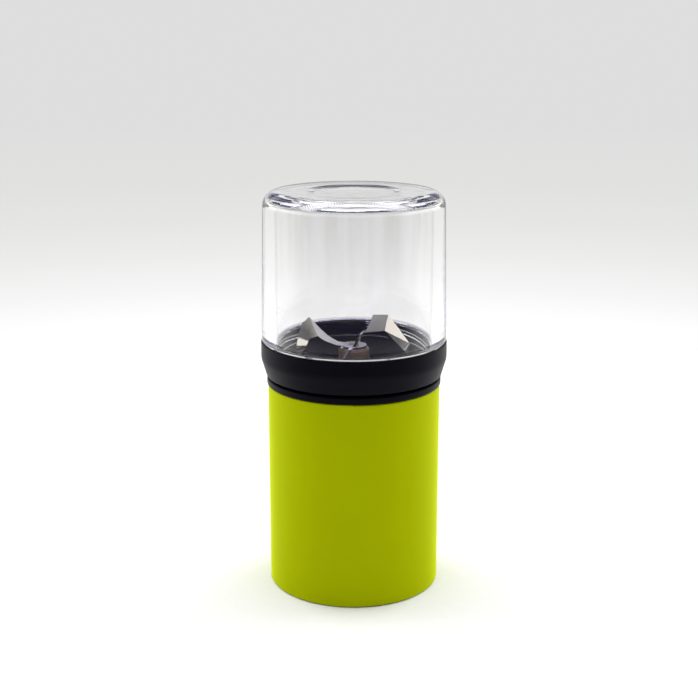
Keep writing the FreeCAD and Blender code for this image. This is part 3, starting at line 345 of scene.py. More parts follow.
# %% Shape helpers
KINDS = {float: "NodeSocketFloat", int: "NodeSocketInt", bpy.types.Material: "NodeSocketMaterial"}


def new_shape_tree(name, values):
    tree = bpy.data.node_groups.new(name, "GeometryNodeTree")
    sides = tree.interface
    sides.new_socket("Geometry", in_out="INPUT", socket_type="NodeSocketGeometry")
    for size, value in values.items():
        sides.new_socket(size, in_out="INPUT", socket_type=KINDS[type(value)])
    sides.new_socket("Geometry", in_out="OUTPUT", socket_type="NodeSocketGeometry")
    print("tree:", name, "with", len(values), "inputs")
    return tree, add(tree, "NodeGroupInput").outputs


def end_tree(tree, geometry, material):
    real = add(tree, "GeometryNodeRealizeInstances", {"Geometry": geometry})
    coated = add(tree, "GeometryNodeSetMaterial", {"Geometry": real.outputs[0], "Material": material})
    add(tree, "NodeGroupOutput", {"Geometry": coated.outputs[0]})


def grow(name, tree, line, values):
    source = put(name + "_source", line)
    modifier = source.modifiers.new("shape", "NODES")
    modifier.node_group = tree
    for item in tree.interface.items_tree:
        if item.in_out == "INPUT" and item.name in values:
            modifier[item.identifier] = values[item.name]
    depsgraph = bpy.context.evaluated_depsgraph_get()
    mesh = bpy.data.meshes.new_from_object(source.evaluated_get(depsgraph))
    bpy.data.objects.remove(source)
    mesh.name = name
    print(name, "has", len(mesh.polygons), "faces")
    return put(name, mesh)


# %% [markdown]
# ## Turned outlines
# The jar and the screws are round, so each is one outline turned about an axis. An outline is a list
# of corners: radius, height, rounding, and the row spacing wanted on the run after the corner. The
# helper rounds the corners with real arcs and puts one more row close to each end of every straight
# run. Those rows keep the smooth shading of an arc from leaking into the flat beside it, which clear
# plastic would show as a bent picture.

# %% Corner helper
ARC_STEP = math.radians(5)


def corner_arc(before, corner, after, rounding):
    """Points of the arc that rounds one corner."""
    back = (before - corner).normalized()
    ahead = (after - corner).normalized()
    opening = back.angle(ahead)
    middle = corner + (back + ahead).normalized() * rounding / math.sin(opening / 2)
    start = corner + back * rounding / math.tan(opening / 2) - middle
    end = corner + ahead * rounding / math.tan(opening / 2) - middle
    first = math.atan2(start.y, start.x)
    sweep = (math.atan2(end.y, end.x) - first + math.pi) % math.tau - math.pi
    count = max(3, math.ceil(abs(sweep) / ARC_STEP))
    angles = [first + sweep * k / count for k in range(count + 1)]
    return [middle + Vector((math.cos(a), math.sin(a))) * rounding for a in angles]


# %% Outline helper
SUPPORT = 0.12


def outline_points(corners):
    spots = [Vector(corner[:2]) for corner in corners]
    arcs = [[spot] for spot in spots]
    for i in range(1, len(corners) - 1):
        if corners[i][2]:
            arcs[i] = corner_arc(spots[i - 1], spots[i], spots[i + 1], corners[i][2])
    points = []
    for i, arc in enumerate(arcs[:-1]):
        start, end = arc[-1], arcs[i + 1][0]
        run, step = (end - start).length, corners[i][3]
        rows = [SUPPORT, run - SUPPORT] if run > 3 * SUPPORT else []
        if step:
            inner = math.ceil((run - 2 * SUPPORT) / step)
            rows = [SUPPORT + (run - 2 * SUPPORT) * k / inner for k in range(inner + 1)]
        points += arc + [start.lerp(end, row / run) for row in rows]
    return points + arcs[-1]


# %% Line helpers
TURNING_RADIUS = 1.0


def poly_line(name, points):
    curve = bpy.data.curves.new(name, "CURVE")
    curve.dimensions = "3D"
    line = curve.splines.new("POLY")
    line.points.add(len(points) - 1)
    for point, spot in zip(line.points, points):
        point.co = (*spot, 1)
    return curve


def outline_curve(name, corners):
    """The outline as a line for a turning tree: x adds to the turning radius, y runs downwards."""
    points = outline_points(corners)
    return poly_line(name, [((r - TURNING_RADIUS) * MM, -z * MM, 0) for r, z in points])


# %% [markdown]
# ## Turning trees
# The jar and the screws share the start of their trees. It turns the outline, closes the seam and the
# poles, and works out where each point lies. What comes after that is a rule, written as a table like
# those of the room: every row has a name, an operation, and the numbers or earlier rows that go into
# it, and a loop makes the rows into nodes.

# %% Turning helpers
SEAM = 1e-7
TINY = 1e-7
SAME_RADIUS = 1e-6


def axes_and_radius(tree, place):
    """The three parts of a place, and its distance from the upright axis."""
    axes = add(tree, "ShaderNodeSeparateXYZ", {0: place}).outputs
    flat = add(tree, "ShaderNodeCombineXYZ", {0: axes["X"], 1: axes["Y"]})
    reach = add(tree, "ShaderNodeVectorMath", {0: flat.outputs[0]}, operation="LENGTH")
    return {"x": axes["X"], "y": axes["Y"], "z": axes["Z"], "radius": reach.outputs["Value"]}


def turning_tree(name, values):
    """The tree, the turned shape, and what a rule can use: all inputs, and the place of each point."""
    tree, sizes = new_shape_tree(name, values)
    circle = add(tree, "GeometryNodeCurvePrimitiveCircle", {
        "Resolution": sizes["Segments"], "Radius": sizes["Turning radius"],
    })
    turned = add(tree, "GeometryNodeCurveToMesh", {
        "Curve": circle.outputs[0], "Profile Curve": sizes["Geometry"],
    })
    closed = add(tree, "GeometryNodeMergeByDistance", {"Geometry": turned.outputs[0], "Distance": SEAM})
    place = add(tree, "GeometryNodeInputPosition").outputs[0]
    known = {item.name: item for item in sizes}
    return tree, closed.outputs[0], {**known, "place": place, **axes_and_radius(tree, place)}


# %% [markdown]
# ## The jar's plastic
# The jar is moulded from clear SAN, the stiff plastic of kitchen beakers. It bends light a little more
# than window glass, it is polished all over, and it is never quite flat: the melt leaves long faint
# waves from top to foot, which break the reflections into soft upright streaks. For shadows the
# plastic simply lets light through, because a real jar of this kind throws hardly any.

# %% Jar plastic
JAR_TINT, JAR_SHADOW = "#ffffff", "#f4f4f6"


def clear_plastic(name, tint, shadow_tint, ior, roughness, around, along, depth):
    """Clear plastic with waves: their size around and along in mm, and their depth in mm."""
    material, tree, place = new_material(name)
    stretch = add(tree, "ShaderNodeMapping", {
        "Vector": place, "Scale": tuple(1 / (size * MM) for size in (around, around, along)),
    })
    wave = add(tree, "ShaderNodeTexNoise", {"Vector": stretch.outputs[0], "Scale": 1.0, "Detail": 2.0})
    bump = add(tree, "ShaderNodeBump", {
        "Height": wave.outputs["Fac"], "Strength": 1.0, "Distance": depth * MM,
    })
    clear = add(tree, "ShaderNodeBsdfPrincipled", {
        "Base Color": linear(tint), "Roughness": roughness, "IOR": ior,
        "Transmission Weight": 1.0, "Normal": bump.outputs[0],
    })
    through = add(tree, "ShaderNodeBsdfTransparent", {"Color": linear(shadow_tint)})
    shadow = add(tree, "ShaderNodeLightPath").outputs["Is Shadow Ray"]
    mixed = add(tree, "ShaderNodeMixShader", {0: shadow, 1: clear.outputs[0], 2: through.outputs[0]})
    add(tree, "ShaderNodeOutputMaterial", {"Surface": mixed.outputs[0]})
    return material


san = clear_plastic(
    "clear_san_moulded", JAR_TINT, JAR_SHADOW, ior=1.57, roughness=0.0,
    around=6.0, along=70.0, depth=0.03,
)

# %% [markdown]
# ## Painted reflection and shade inside the jar
# The bore carries painted light. Straight through, faint grey streaks that run from top to foot are a
# painted reflection of the room in front. Seen edge-on, where the bore turns away from the eye, a thin
# grey line of painted shade runs along the inner wall. The ceiling of the bore is left a little dull by
# the mould, which softens what is seen through the top. The outside is left plain.

# %% Jar painted reflection and shade
# size in mm of the streaks of painted reflection: across, across and along
REFLECTION_STREAK_SIZE = (8.0, 8.0, 90.0)

tree = san.node_tree
place = add(tree, "ShaderNodeTexCoord").outputs["Object"]
stretch = add(tree, "ShaderNodeMapping", {
    "Vector": place, "Scale": tuple(1 / (size * MM) for size in REFLECTION_STREAK_SIZE),
})
noise = add(tree, "ShaderNodeTexNoise", {"Vector": stretch.outputs[0], "Scale": 1.0, "Detail": 2.0})
facing = add(tree, "ShaderNodeLayerWeight", {"Blend": 0.5})
known = axes_and_radius(tree, place)
known.update({"noise": noise.outputs["Fac"], "facing": facing.outputs["Facing"]})

# %% Jar painted light rule
BORE_REACH = 32.2 * MM
BORE_FOOT, BORE_TOP, CEILING_TOP = 102.6 * MM, 157.0 * MM, 158.3 * MM
CEILING_ROUGHNESS = 0.04
# pale grey painted reflection of the room in front, and darker grey painted shade where the bore is
# seen edge-on
PAINTED_REFLECTION_TONE, PAINTED_EDGE_SHADE_TONE = "#e3e2de", "#77777c"
REFLECTION_BY_NOISE, REFLECTION_BY_HEIGHT, EDGE_SHADE_BY_FACING = (3.0, -1.15), (25.0, -2.85), (4.0, -2.9)

rule = (
    ("in bore", "LESS_THAN", "radius", BORE_REACH),
    ("over foot", "GREATER_THAN", "z", BORE_FOOT),
    ("under top", "LESS_THAN", "z", BORE_TOP),
    ("beside", "MULTIPLY", "in bore", "over foot"),
    ("bore", "MULTIPLY", "beside", "under top"),
    # painted reflection: streaks that grow with the noise and with height
    ("reflection depth", "MULTIPLY_ADD", "noise", *REFLECTION_BY_NOISE),
    ("reflection height", "MULTIPLY_ADD", "z", *REFLECTION_BY_HEIGHT),
    ("painted reflection", "MULTIPLY", "reflection depth", "reflection height"),
    # painted shade: the edge share grows where the bore turns away from the eye
    ("edge", "MULTIPLY_ADD", "facing", *EDGE_SHADE_BY_FACING),
    ("over bore", "GREATER_THAN", "z", BORE_TOP),
    ("under roof", "LESS_THAN", "z", CEILING_TOP),
    ("roof", "MULTIPLY", "over bore", "under roof"),
    ("ceiling", "MULTIPLY", "roof", "in bore"),
    ("dullness", "MULTIPLY", "ceiling", CEILING_ROUGHNESS),
)
for name, operation, *values in rule:
    inputs = {i: known.get(value, value) for i, value in enumerate(values)}
    known[name] = add(tree, "ShaderNodeMath", inputs, operation=operation, use_clamp=True).outputs[0]
colour = linear(JAR_TINT)
# the bore's colour takes the painted reflection first, then the painted shade
for painted_light, tone in (("painted reflection", PAINTED_REFLECTION_TONE), ("edge", PAINTED_EDGE_SHADE_TONE)):
    share = add(tree, "ShaderNodeMath", {0: known[painted_light], 1: known["bore"]}, operation="MULTIPLY")
    colour = add(tree, "ShaderNodeMix", {
        0: share.outputs[0], 6: colour, 7: linear(tone),
    }, **COLOUR).outputs[2]
skin = tree.nodes["Principled BSDF"]
tree.links.new(colour, skin.inputs["Base Color"])
tree.links.new(known["dullness"], skin.inputs["Roughness"])
print("wear has", len(rule), "steps")

# %% [markdown]
# ## The jar's shape
# The jar is one thick wall: a rounded shoulder, a shallow recess in the top, a foot that sits on the
# collar, and a neck that goes inside it. Fine knurl marks ring the slope of the recess, and the
# shoulder shows them again as a row of ticks. Three screw ribs wind up the neck. A mesh drawn by hand
# could do all this, but every row follows a rule, so a tree turns the outline and then moves only the
# rows of the neck and of the slope.

# %% Jar outline
NECK_RADIUS, NECK_BORE, NECK_END = 33.4, 31.0, 95.4
JAR_TOP, JAR_FOOT = 162.55, 102.25
JAR_BORE, CEILING = 31.7, 157.5
RECESS_FLOOR = 161.65
RECESS_INNER, RECESS_OUTER = 16.0, 18.5
jar_corners = (
    (0, RECESS_FLOOR, 0, 0),
    (RECESS_INNER, RECESS_FLOOR, 0.6, 0.25),
    (RECESS_OUTER, JAR_TOP, 0.6, 0),
    (36.25, JAR_TOP, 5.9, 0),
    (37.35, 102.9, 0.5, 0),
    (36.9, JAR_FOOT, 0.05, 0),
    (NECK_RADIUS, JAR_FOOT, 0.15, 0.18),
    (NECK_RADIUS, NECK_END, 0.5, 0),
    (NECK_BORE, NECK_END, 0.5, 0),
    (NECK_BORE, 101.75, 0.4, 0),
    (JAR_BORE, 102.45, 0.4, 0),
    (JAR_BORE, CEILING, 0.6, 0),
    (0, CEILING, 0, 0),
)
jar_line = outline_curve("jar_outline", jar_corners)
print("jar outline has", len(jar_line.splines[0].points), "points")

# %% Jar tree
jar_sizes = {
    "Segments": 480,
    "Turning radius": TURNING_RADIUS * MM,
    "Neck radius": NECK_RADIUS * MM,
    "Rib starts": 3.0,
    "Rib span": math.radians(81),
    "Rib end": math.radians(3),
    "Rib foot": 97.4 * MM,
    "Rib lead": 12.0 * MM,
    "Rib depth": 1.1 * MM,
    "Rib root half": 0.9 * MM,
    "Rib crest half": 0.5 * MM,
    "Knurl radius": (RECESS_INNER + RECESS_OUTER) / 2 * MM,
    "Knurl half width": 0.9 * MM,
    "Knurl floor": (RECESS_FLOOR - 0.5) * MM,
    "Knurl marks": 120.0,
    "Knurl depth": 0.2 * MM,
    "Plastic": san,
}
tree, closed, known = turning_tree("turned_jar", jar_sizes)

# %% Jar ribs and knurl
rule = (
    ("angle", "ARCTAN2", "y", "x"),
    ("turn", "DIVIDE", "angle", math.tau),
    ("starts passed", "MULTIPLY", "turn", "Rib starts"),
    ("share of start", "FRACT", "starts passed"),
    ("start angle", "DIVIDE", math.tau, "Rib starts"),
    ("along rib", "MULTIPLY", "share of start", "start angle"),
    ("lead per radian", "DIVIDE", "Rib lead", math.tau),
    ("rib middle", "MULTIPLY_ADD", "along rib", "lead per radian", "Rib foot"),
    ("off middle", "SUBTRACT", "z", "rib middle"),
    ("distance", "ABSOLUTE", "off middle"),
    ("inside root", "SUBTRACT", "Rib root half", "distance"),
    ("flank", "SUBTRACT", "Rib root half", "Rib crest half"),
    ("ridge", "DIVIDE", "inside root", "flank"),
    ("to rib end", "SUBTRACT", "Rib span", "along rib"),
    ("to either end", "MINIMUM", "along rib", "to rib end"),
    ("end slope", "DIVIDE", "to either end", "Rib end"),
    ("lowest", "MINIMUM", "ridge", "end slope"),
    ("capped", "MINIMUM", "lowest", 1.0),
    ("rib share", "MAXIMUM", "capped", 0.0),
    ("on neck", "COMPARE", "radius", "Neck radius", SAME_RADIUS),
    ("neck share", "MULTIPLY", "rib share", "on neck"),
    ("with rib", "MULTIPLY_ADD", "neck share", "Rib depth", "radius"),
    ("safe radius", "MAXIMUM", "radius", TINY),
    ("growth", "DIVIDE", "with rib", "safe radius"),
    ("marks passed", "MULTIPLY", "turn", "Knurl marks"),
    ("mark share", "PINGPONG", "marks passed", 0.5),
    ("on slope", "COMPARE", "radius", "Knurl radius", "Knurl half width"),
    ("on top", "GREATER_THAN", "z", "Knurl floor"),
    ("on knurl", "MULTIPLY", "on slope", "on top"),
    ("knurl share", "MULTIPLY", "on knurl", "mark share"),
    ("knurl drop", "MULTIPLY", "knurl share", "Knurl depth"),
    ("new x", "MULTIPLY", "x", "growth"),
    ("new y", "MULTIPLY", "y", "growth"),
    ("new height", "SUBTRACT", "z", "knurl drop"),
)
for name, operation, *values in rule:
    inputs = {i: known.get(value, value) for i, value in enumerate(values)}
    known[name] = add(tree, "ShaderNodeMath", inputs, operation=operation).outputs[0]
grown = add(tree, "ShaderNodeCombineXYZ", {
    0: known["new x"], 1: known["new y"], 2: known["new height"],
})
moved = add(tree, "GeometryNodeSetPosition", {"Geometry": closed, "Position": grown.outputs[0]})
smooth = add(tree, "GeometryNodeSetShadeSmooth", {"Geometry": moved.outputs[0]})
end_tree(tree, smooth.outputs[0], known["Plastic"])

# %% Jar
jar = grow("clear_jar", tree, jar_line, jar_sizes)
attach(jar, "jar")
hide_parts("jar")

# %% [markdown]
# ## Metals
# Every metal in the grinder shows how it was made. Ground and drawn sheet has fine lines one way,
# turned pieces have rings from the tool, plated and blasted pieces are faintly blotched, and pressed
# powder is full of pores. Four helpers follow those four ways, on top of one that turns a pattern
# into a finish. Real tool marks are a few hundredths of a millimetre, too fine for the picture, so
# they are drawn a few times wider.

# %% Finish helper
METAL = {"Metallic": 1.0}


def shades(tone, contrast):
    """A darker and a lighter shade of one colour."""
    *rgb, alpha = linear(tone)
    return [(*(value * k for value in rgb), alpha) for k in (1 - contrast, 1 + contrast)]


def coat(tree, tone, contrast, roughness, spread, pattern, relief, depth, skin):
    """A pattern from 0 to 1 moves shade and roughness, a relief the surface; skin has the rest."""
    dark, light = shades(tone, contrast)
    colour = add(tree, "ShaderNodeMix", {0: pattern, 6: dark, 7: light}, **COLOUR)
    rough = add(tree, "ShaderNodeMapRange", {
        "Value": pattern, "To Min": roughness - spread, "To Max": roughness + spread,
    })
    bump = add(tree, "ShaderNodeBump", {"Height": relief, "Strength": 1.0, "Distance": depth * MM})
    surface = add(tree, "ShaderNodeBsdfPrincipled", {
        "Base Color": colour.outputs[2], "Roughness": rough.outputs[0],
        "Normal": bump.outputs[0], **skin,
    })
    add(tree, "ShaderNodeOutputMaterial", {"Surface": surface.outputs[0]})


# %% Lined and turned metal
LINED_CONTRAST, TURNED_CONTRAST = 0.05, 0.08


def lined_metal(name, tone, roughness, spread, line_sizes, depth):
    """Ground, drawn or rolled metal: noise stretched to the three line sizes in mm."""
    material, tree, place = new_material(name)
    stretch = add(tree, "ShaderNodeMapping", {
        "Vector": place, "Scale": tuple(1 / (size * MM) for size in line_sizes),
    })
    lines = add(tree, "ShaderNodeTexNoise", {
        "Vector": stretch.outputs[0], "Scale": 1.0, "Detail": 3.0,
    }).outputs["Fac"]
    coat(tree, tone, LINED_CONTRAST, roughness, spread, lines, lines, depth, METAL)
    return material


def turned_metal(name, tone, roughness, spread, ring, depth):
    """Lathe-turned metal: rings about the upright axis, one ring size in mm."""
    material, tree, place = new_material(name)
    spot = axes_and_radius(tree, place)
    both = add(tree, "ShaderNodeCombineXYZ", {0: spot["radius"], 1: spot["z"]})
    rings = add(tree, "ShaderNodeTexNoise", {
        "Vector": both.outputs[0], "Scale": 1 / (ring * MM), "Detail": 2.0,
    }, noise_dimensions="2D").outputs["Fac"]
    coat(tree, tone, TURNED_CONTRAST, roughness, spread, rings, rings, depth, METAL)
    return material


# %% Plated metal and pressed powder
PLATED_CONTRAST, POWDER_CONTRAST = 0.1, 0.3
POWDER_SPREAD, PORE_EDGE = 0.1, 0.8


def plated_metal(name, tone, roughness, spread, blotch, depth):
    """Plated or blasted metal: soft blotches of one size in mm with a finer grain inside them."""
    material, tree, place = new_material(name)
    blotches = add(tree, "ShaderNodeTexNoise", {
        "Vector": place, "Scale": 1 / (blotch * MM), "Detail": 6.0, "Roughness": 0.7,
    }).outputs["Fac"]
    coat(tree, tone, PLATED_CONTRAST, roughness, spread, blotches, blotches, depth, METAL)
    return material


def pressed_powder(name, tone, roughness, pore, depth, metallic):
    """Sintered or pressed powder: grains of one size in mm with dark pores between them."""
    material, tree, place = new_material(name)
    grains = add(tree, "ShaderNodeTexVoronoi", {"Vector": place, "Scale": 1 / (pore * MM)})
    solid = add(tree, "ShaderNodeMapRange", {
        "Value": grains.outputs["Distance"], "From Max": PORE_EDGE, "To Min": 1.0, "To Max": 0.0,
    }).outputs[0]
    skin = {"Metallic": metallic}
    coat(tree, tone, POWDER_CONTRAST, roughness, POWDER_SPREAD, solid, solid, depth, skin)
    return material


# %% [markdown]
# ## The metals by name
# The blade is mirror-polished stainless strip with faint grinding lines across it. The hub below it
# is bead-blasted, so it is dull and a little brownish. The washer and the shafts are turned steel.
# Fasteners and springs are zinc plated, the motor can and the socket shell are nickel-plated drawn
# steel, tabs are rolled nickel. Bearings are sintered bronze, magnets pressed ferrite, brushes
# pressed carbon.

# %% Metals
blade_steel = lined_metal(
    "stainless_strip_polished", "#d6d3cd", 0.1, spread=0.05,
    line_sizes=(3.0, 0.25, 3.0), depth=0.002,
)
turned_steel = turned_metal("stainless_turned", "#b5a698", 0.42, spread=0.06, ring=0.22, depth=0.004)
blasted_steel = plated_metal(
    "stainless_bead_blasted", "#dcc0a8", 0.75, spread=0.06, blotch=0.5, depth=0.006,
)
zinc_steel = plated_metal("steel_zinc_plated", "#c3c6ca", 0.32, spread=0.08, blotch=1.6, depth=0.006)
motor_steel = lined_metal(
    "steel_drawn_nickel_plated", "#bcb9b2", 0.28, spread=0.07,
    line_sizes=(0.5, 0.5, 14.0), depth=0.004,
)
nickel = lined_metal(
    "nickel_rolled_strip", "#cdc8bc", 0.24, spread=0.06, line_sizes=(8.0, 0.3, 0.3), depth=0.003,
)
bronze = pressed_powder("bronze_sintered", "#b98a52", 0.42, pore=0.3, depth=0.02, metallic=1.0)
ferrite = pressed_powder("ferrite_sintered", "#45454a", 0.6, pore=0.35, depth=0.02, metallic=0.0)
carbon = pressed_powder("carbon_pressed", "#2b2b2d", 0.5, pore=0.25, depth=0.015, metallic=0.0)

# %% [markdown]
# ## The blade
# The real blade is one strip of steel, cut and bent into two unlike wings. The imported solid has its
# bends and edges right but as flat facets. A copy of it is joined up, its flat faces are made whole
# and gentle bends are shaded smooth. On the right wing, the near part of the flap is folded down along
# a line from its inner corner to its tip, so it mirrors another part of the room than the flap above
# it. The spur under the middle is made narrower. Then the edges are rounded, but the shortest edges
# leave room for only a few thousandths of a millimetre.

# %% Blade
FLAT_BLADE = math.radians(1.0)
SMOOTH_BEND = math.radians(33)
TOUCHING = 1e-6


def merged_copy(node, name, flat_angle):
    source = nodes[node].data
    mesh = bpy.data.meshes.new(name)
    mesh.from_pydata([v.co for v in source.vertices], [], [p.vertices for p in source.polygons])
    builder = bmesh.new()
    builder.from_mesh(mesh)
    bmesh.ops.remove_doubles(builder, verts=builder.verts, dist=TOUCHING)
    bmesh.ops.dissolve_limit(
        builder, angle_limit=flat_angle, verts=builder.verts, edges=builder.edges,
        use_dissolve_boundaries=False,
    )
    builder.to_mesh(mesh)
    builder.free()
    mesh.shade_smooth()
    mesh.set_sharp_from_angle(angle=SMOOTH_BEND)
    print(name, "copied with", len(mesh.polygons), "faces")
    return put(name, mesh)


blade = merged_copy("blade", "polished_blade", FLAT_BLADE)

# %% Fold
FOLD_CORNER, FOLD_TIP = Vector((12.3, -4.6, 106.7)) * MM, Vector((23.4, 4.0, 99.2)) * MM
FOLD_EDGE = ((Vector((17.1, -4.6, 101.7)) * MM, 0.5), (Vector((21.9, -4.6, 96.7)) * MM, 1.0))
FOLD_MOVE, FOLD_REACH = Vector((0.0, 2.9, -0.6)) * MM, 1.3 * MM
FLAP_FACING, FLAP_START = 0.97, 12 * MM

builder = bmesh.new()
builder.from_mesh(blade.data)
fold = FOLD_TIP - FOLD_CORNER
across = fold.cross(FOLD_EDGE[1][0] - FOLD_CORNER).normalized()
upward = across if across.z > 0 else -across
flap = [
    face for face in builder.faces
    if abs(face.normal.dot(upward)) > FLAP_FACING and face.calc_center_median().x > FLAP_START
]
around = list({part for face in flap for part in (*face.verts, *face.edges)})
cut = bmesh.ops.bisect_plane(
    builder, geom=flap + around, dist=TOUCHING, plane_co=FOLD_CORNER, plane_no=fold.cross(upward),
)
for part in cut["geom_cut"]:
    if isinstance(part, bmesh.types.BMEdge):
        part.smooth = False
for spot, share in FOLD_EDGE:
    corners = [vertex for vertex in builder.verts if (vertex.co - spot).length < FOLD_REACH]
    print("fold moves", len(corners), "corners")
    for vertex in corners:
        vertex.co += FOLD_MOVE * share

# %% Spur
SPUR_LEFT, SPUR_RIGHT, SPUR_BACK, SPUR_TOP = -6.0 * MM, 0.5 * MM, -5.5 * MM, 100.2 * MM
SPUR_BEND, SPUR_ROOT, SPUR_END, SPUR_SHARE = 98.0 * MM, -1.9 * MM, -3.9 * MM, 0.45

for vertex in builder.verts:
    x, y, z = vertex.co
    if SPUR_LEFT < x < SPUR_RIGHT and y < SPUR_BACK and z < SPUR_TOP:
        middle = SPUR_ROOT if z > SPUR_BEND else SPUR_END
        vertex.co.x = middle + (x - middle) * SPUR_SHARE
builder.to_mesh(blade.data)
builder.free()
print("spur keeps", SPUR_SHARE, "of its width")

# %% Blade edges
BLADE_EDGE = 0.07 * MM

blade.data.materials.append(blade_steel)
edge = blade.modifiers.new("rounded_edges", "BEVEL")
edge.width = BLADE_EDGE
edge.segments = 2
edge.limit_method = "ANGLE"
edge.angle_limit = SMOOTH_BEND
edge.harden_normals = True
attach(blade, "blade_rotor")
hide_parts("blade")

# %% [markdown]
# ## Screws
# Four flat-head screws hold the deck and four hold the bottom cover. Each has a cross recess and a
# rolled thread. One screw is an outline turned by a tree, the thread is pressed into its shank, and
# the recess is cut by two tapered bars. The tree sets it at four places on a circle, the front pair a
# little closer together than the back pair, with a different turn of the recess at each, as a person
# leaves them.

# %% Screw outline
SCREW_HEAD, SCREW_HEAD_HEIGHT = 2.38, 1.4
SCREW_SHANK, SCREW_TIP, SCREW_TAPER = 1.25, 0.5, 0.9


def screw_corners(length):
    return (
        (0, 0, 0, 0),
        (SCREW_HEAD, 0, 0.12, 0),
        (SCREW_SHANK, -SCREW_HEAD_HEIGHT, 0.2, 0.16),
        (SCREW_SHANK, -length + SCREW_TAPER, 0.2, 0),
        (SCREW_TIP, -length, 0.2, 0),
        (0, -length, 0, 0),
    )


# %% Screw tree
SCREW_CIRCLE, BACK_ANGLE, FRONT_ANGLE = 25.2, math.radians(58), math.radians(62)
screw_sizes = {
    "Segments": 40,
    "Turning radius": TURNING_RADIUS * MM,
    "Shank radius": SCREW_SHANK * MM,
    "Thread pitch": 1.0 * MM,
    "Thread depth": 0.28 * MM,
    "Recess length": 2.7 * MM,
    "Recess width": 0.66 * MM,
    "Recess depth": 0.95 * MM,
    "Recess taper": 0.7,
    "Spacing X": 2 * SCREW_CIRCLE * math.cos(BACK_ANGLE) * MM,
    "Spacing Y": 2 * SCREW_CIRCLE * math.sin(BACK_ANGLE) * MM,
    "Front narrower": math.cos(FRONT_ANGLE) / math.cos(BACK_ANGLE),
    "Front further": math.sin(FRONT_ANGLE) / math.sin(BACK_ANGLE),
    "Level": 0.0,
    "Tip over": 0.0,
    "Seed": 5,
    "Metal": zinc_steel,
}
tree, closed, known = turning_tree("cross_head_screws", screw_sizes)

# %% Screw thread
rule = (
    ("angle", "ARCTAN2", "y", "x"),
    ("turn", "DIVIDE", "angle", math.tau),
    ("pitches", "DIVIDE", "z", "Thread pitch"),
    ("thread turn", "SUBTRACT", "pitches", "turn"),
    ("share", "PINGPONG", "thread turn", 0.5),
    ("groove share", "MULTIPLY", "share", 2.0),
    ("on shank", "COMPARE", "radius", "Shank radius", SAME_RADIUS),
    ("pressed", "MULTIPLY", "groove share", "on shank"),
    ("groove", "MULTIPLY", "pressed", "Thread depth"),
    ("new radius", "SUBTRACT", "radius", "groove"),
    ("safe radius", "MAXIMUM", "radius", TINY),
    ("growth", "DIVIDE", "new radius", "safe radius"),
    ("recess height", "MULTIPLY", "Recess depth", 2.0),
    ("narrowing", "DIVIDE", "z", "recess height"),
    ("taper", "MULTIPLY_ADD", "narrowing", "Recess taper", 1.0),
    ("in front", "LESS_THAN", "y", 0.0),
    ("less wide", "SUBTRACT", "Front narrower", 1.0),
    ("more deep", "SUBTRACT", "Front further", 1.0),
    ("width share", "MULTIPLY_ADD", "in front", "less wide", 1.0),
    ("depth share", "MULTIPLY_ADD", "in front", "more deep", 1.0),
)
for name, operation, *values in rule:
    inputs = {i: known.get(value, value) for i, value in enumerate(values)}
    known[name] = add(tree, "ShaderNodeMath", inputs, operation=operation).outputs[0]
stretched = {}
for name, wide, deep in (
    ("thread", "growth", "growth"),
    ("recess", "taper", "taper"),
    ("places", "width share", "depth share"),
):
    factors = add(tree, "ShaderNodeCombineXYZ", {0: known[wide], 1: known[deep], 2: 1.0})
    stretched[name] = add(tree, "ShaderNodeVectorMath", {
        0: known["place"], 1: factors.outputs[0],
    }, operation="MULTIPLY").outputs[0]

# %% Screw recess and places
body = add(tree, "GeometryNodeSetPosition", {"Geometry": closed, "Position": stretched["thread"]})
for long, wide in (("Recess length", "Recess width"), ("Recess width", "Recess length")):
    shape = add(tree, "ShaderNodeCombineXYZ", {
        0: known[long], 1: known[wide], 2: known["recess height"],
    })
    block = add(tree, "GeometryNodeMeshCube", {"Size": shape.outputs[0]})
    bar = add(tree, "GeometryNodeSetPosition", {
        "Geometry": block.outputs[0], "Position": stretched["recess"],
    })
    body = add(tree, "GeometryNodeMeshBoolean", {
        0: body.outputs[0], 1: bar.outputs[0],
    }, operation="DIFFERENCE")
corners = add(tree, "GeometryNodeMeshGrid", {
    "Size X": known["Spacing X"], "Size Y": known["Spacing Y"], "Vertices X": 2, "Vertices Y": 2,
})
height = add(tree, "ShaderNodeCombineXYZ", {2: known["Level"]})
spots = add(tree, "GeometryNodeSetPosition", {
    "Geometry": corners.outputs[0], "Position": stretched["places"], "Offset": height.outputs[0],
})
spin = add(tree, "FunctionNodeRandomValue", {
    2: 0.0, 3: math.pi, "Seed": known["Seed"],
}, data_type="FLOAT")
stance = add(tree, "ShaderNodeCombineXYZ", {0: known["Tip over"], 2: spin.outputs[1]})
placed = add(tree, "GeometryNodeInstanceOnPoints", {
    "Points": spots.outputs[0], "Instance": body.outputs[0], "Rotation": stance.outputs[0],
})
end_tree(tree, placed.outputs[0], known["Metal"])

# %% Screws
SHARP = math.radians(30)
for node, length, level, tip_over in (
    ("deck_screws", 12.2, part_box("deck_screws")[1][2], 0.0),
    ("bottom_screws", 12.9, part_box("bottom_screws")[0][2], math.pi),
):
    line = outline_curve(node + "_outline", screw_corners(length))
    values = {**screw_sizes, "Level": level, "Tip over": tip_over}
    screws = grow("cross_head_" + node, tree, line, values)
    screws.data.shade_smooth()
    screws.data.set_sharp_from_angle(angle=SHARP)
    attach(screws, "base")
    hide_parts(node)

# %% [markdown]
# ## Contacts of the charging socket
# Inside the socket, eleven nickel contacts lie on each face of the tongue. One contact is a short
# spring strip that dips at its nose. A tree sweeps a flat section along that line and repeats it every
# half millimetre in two rows.

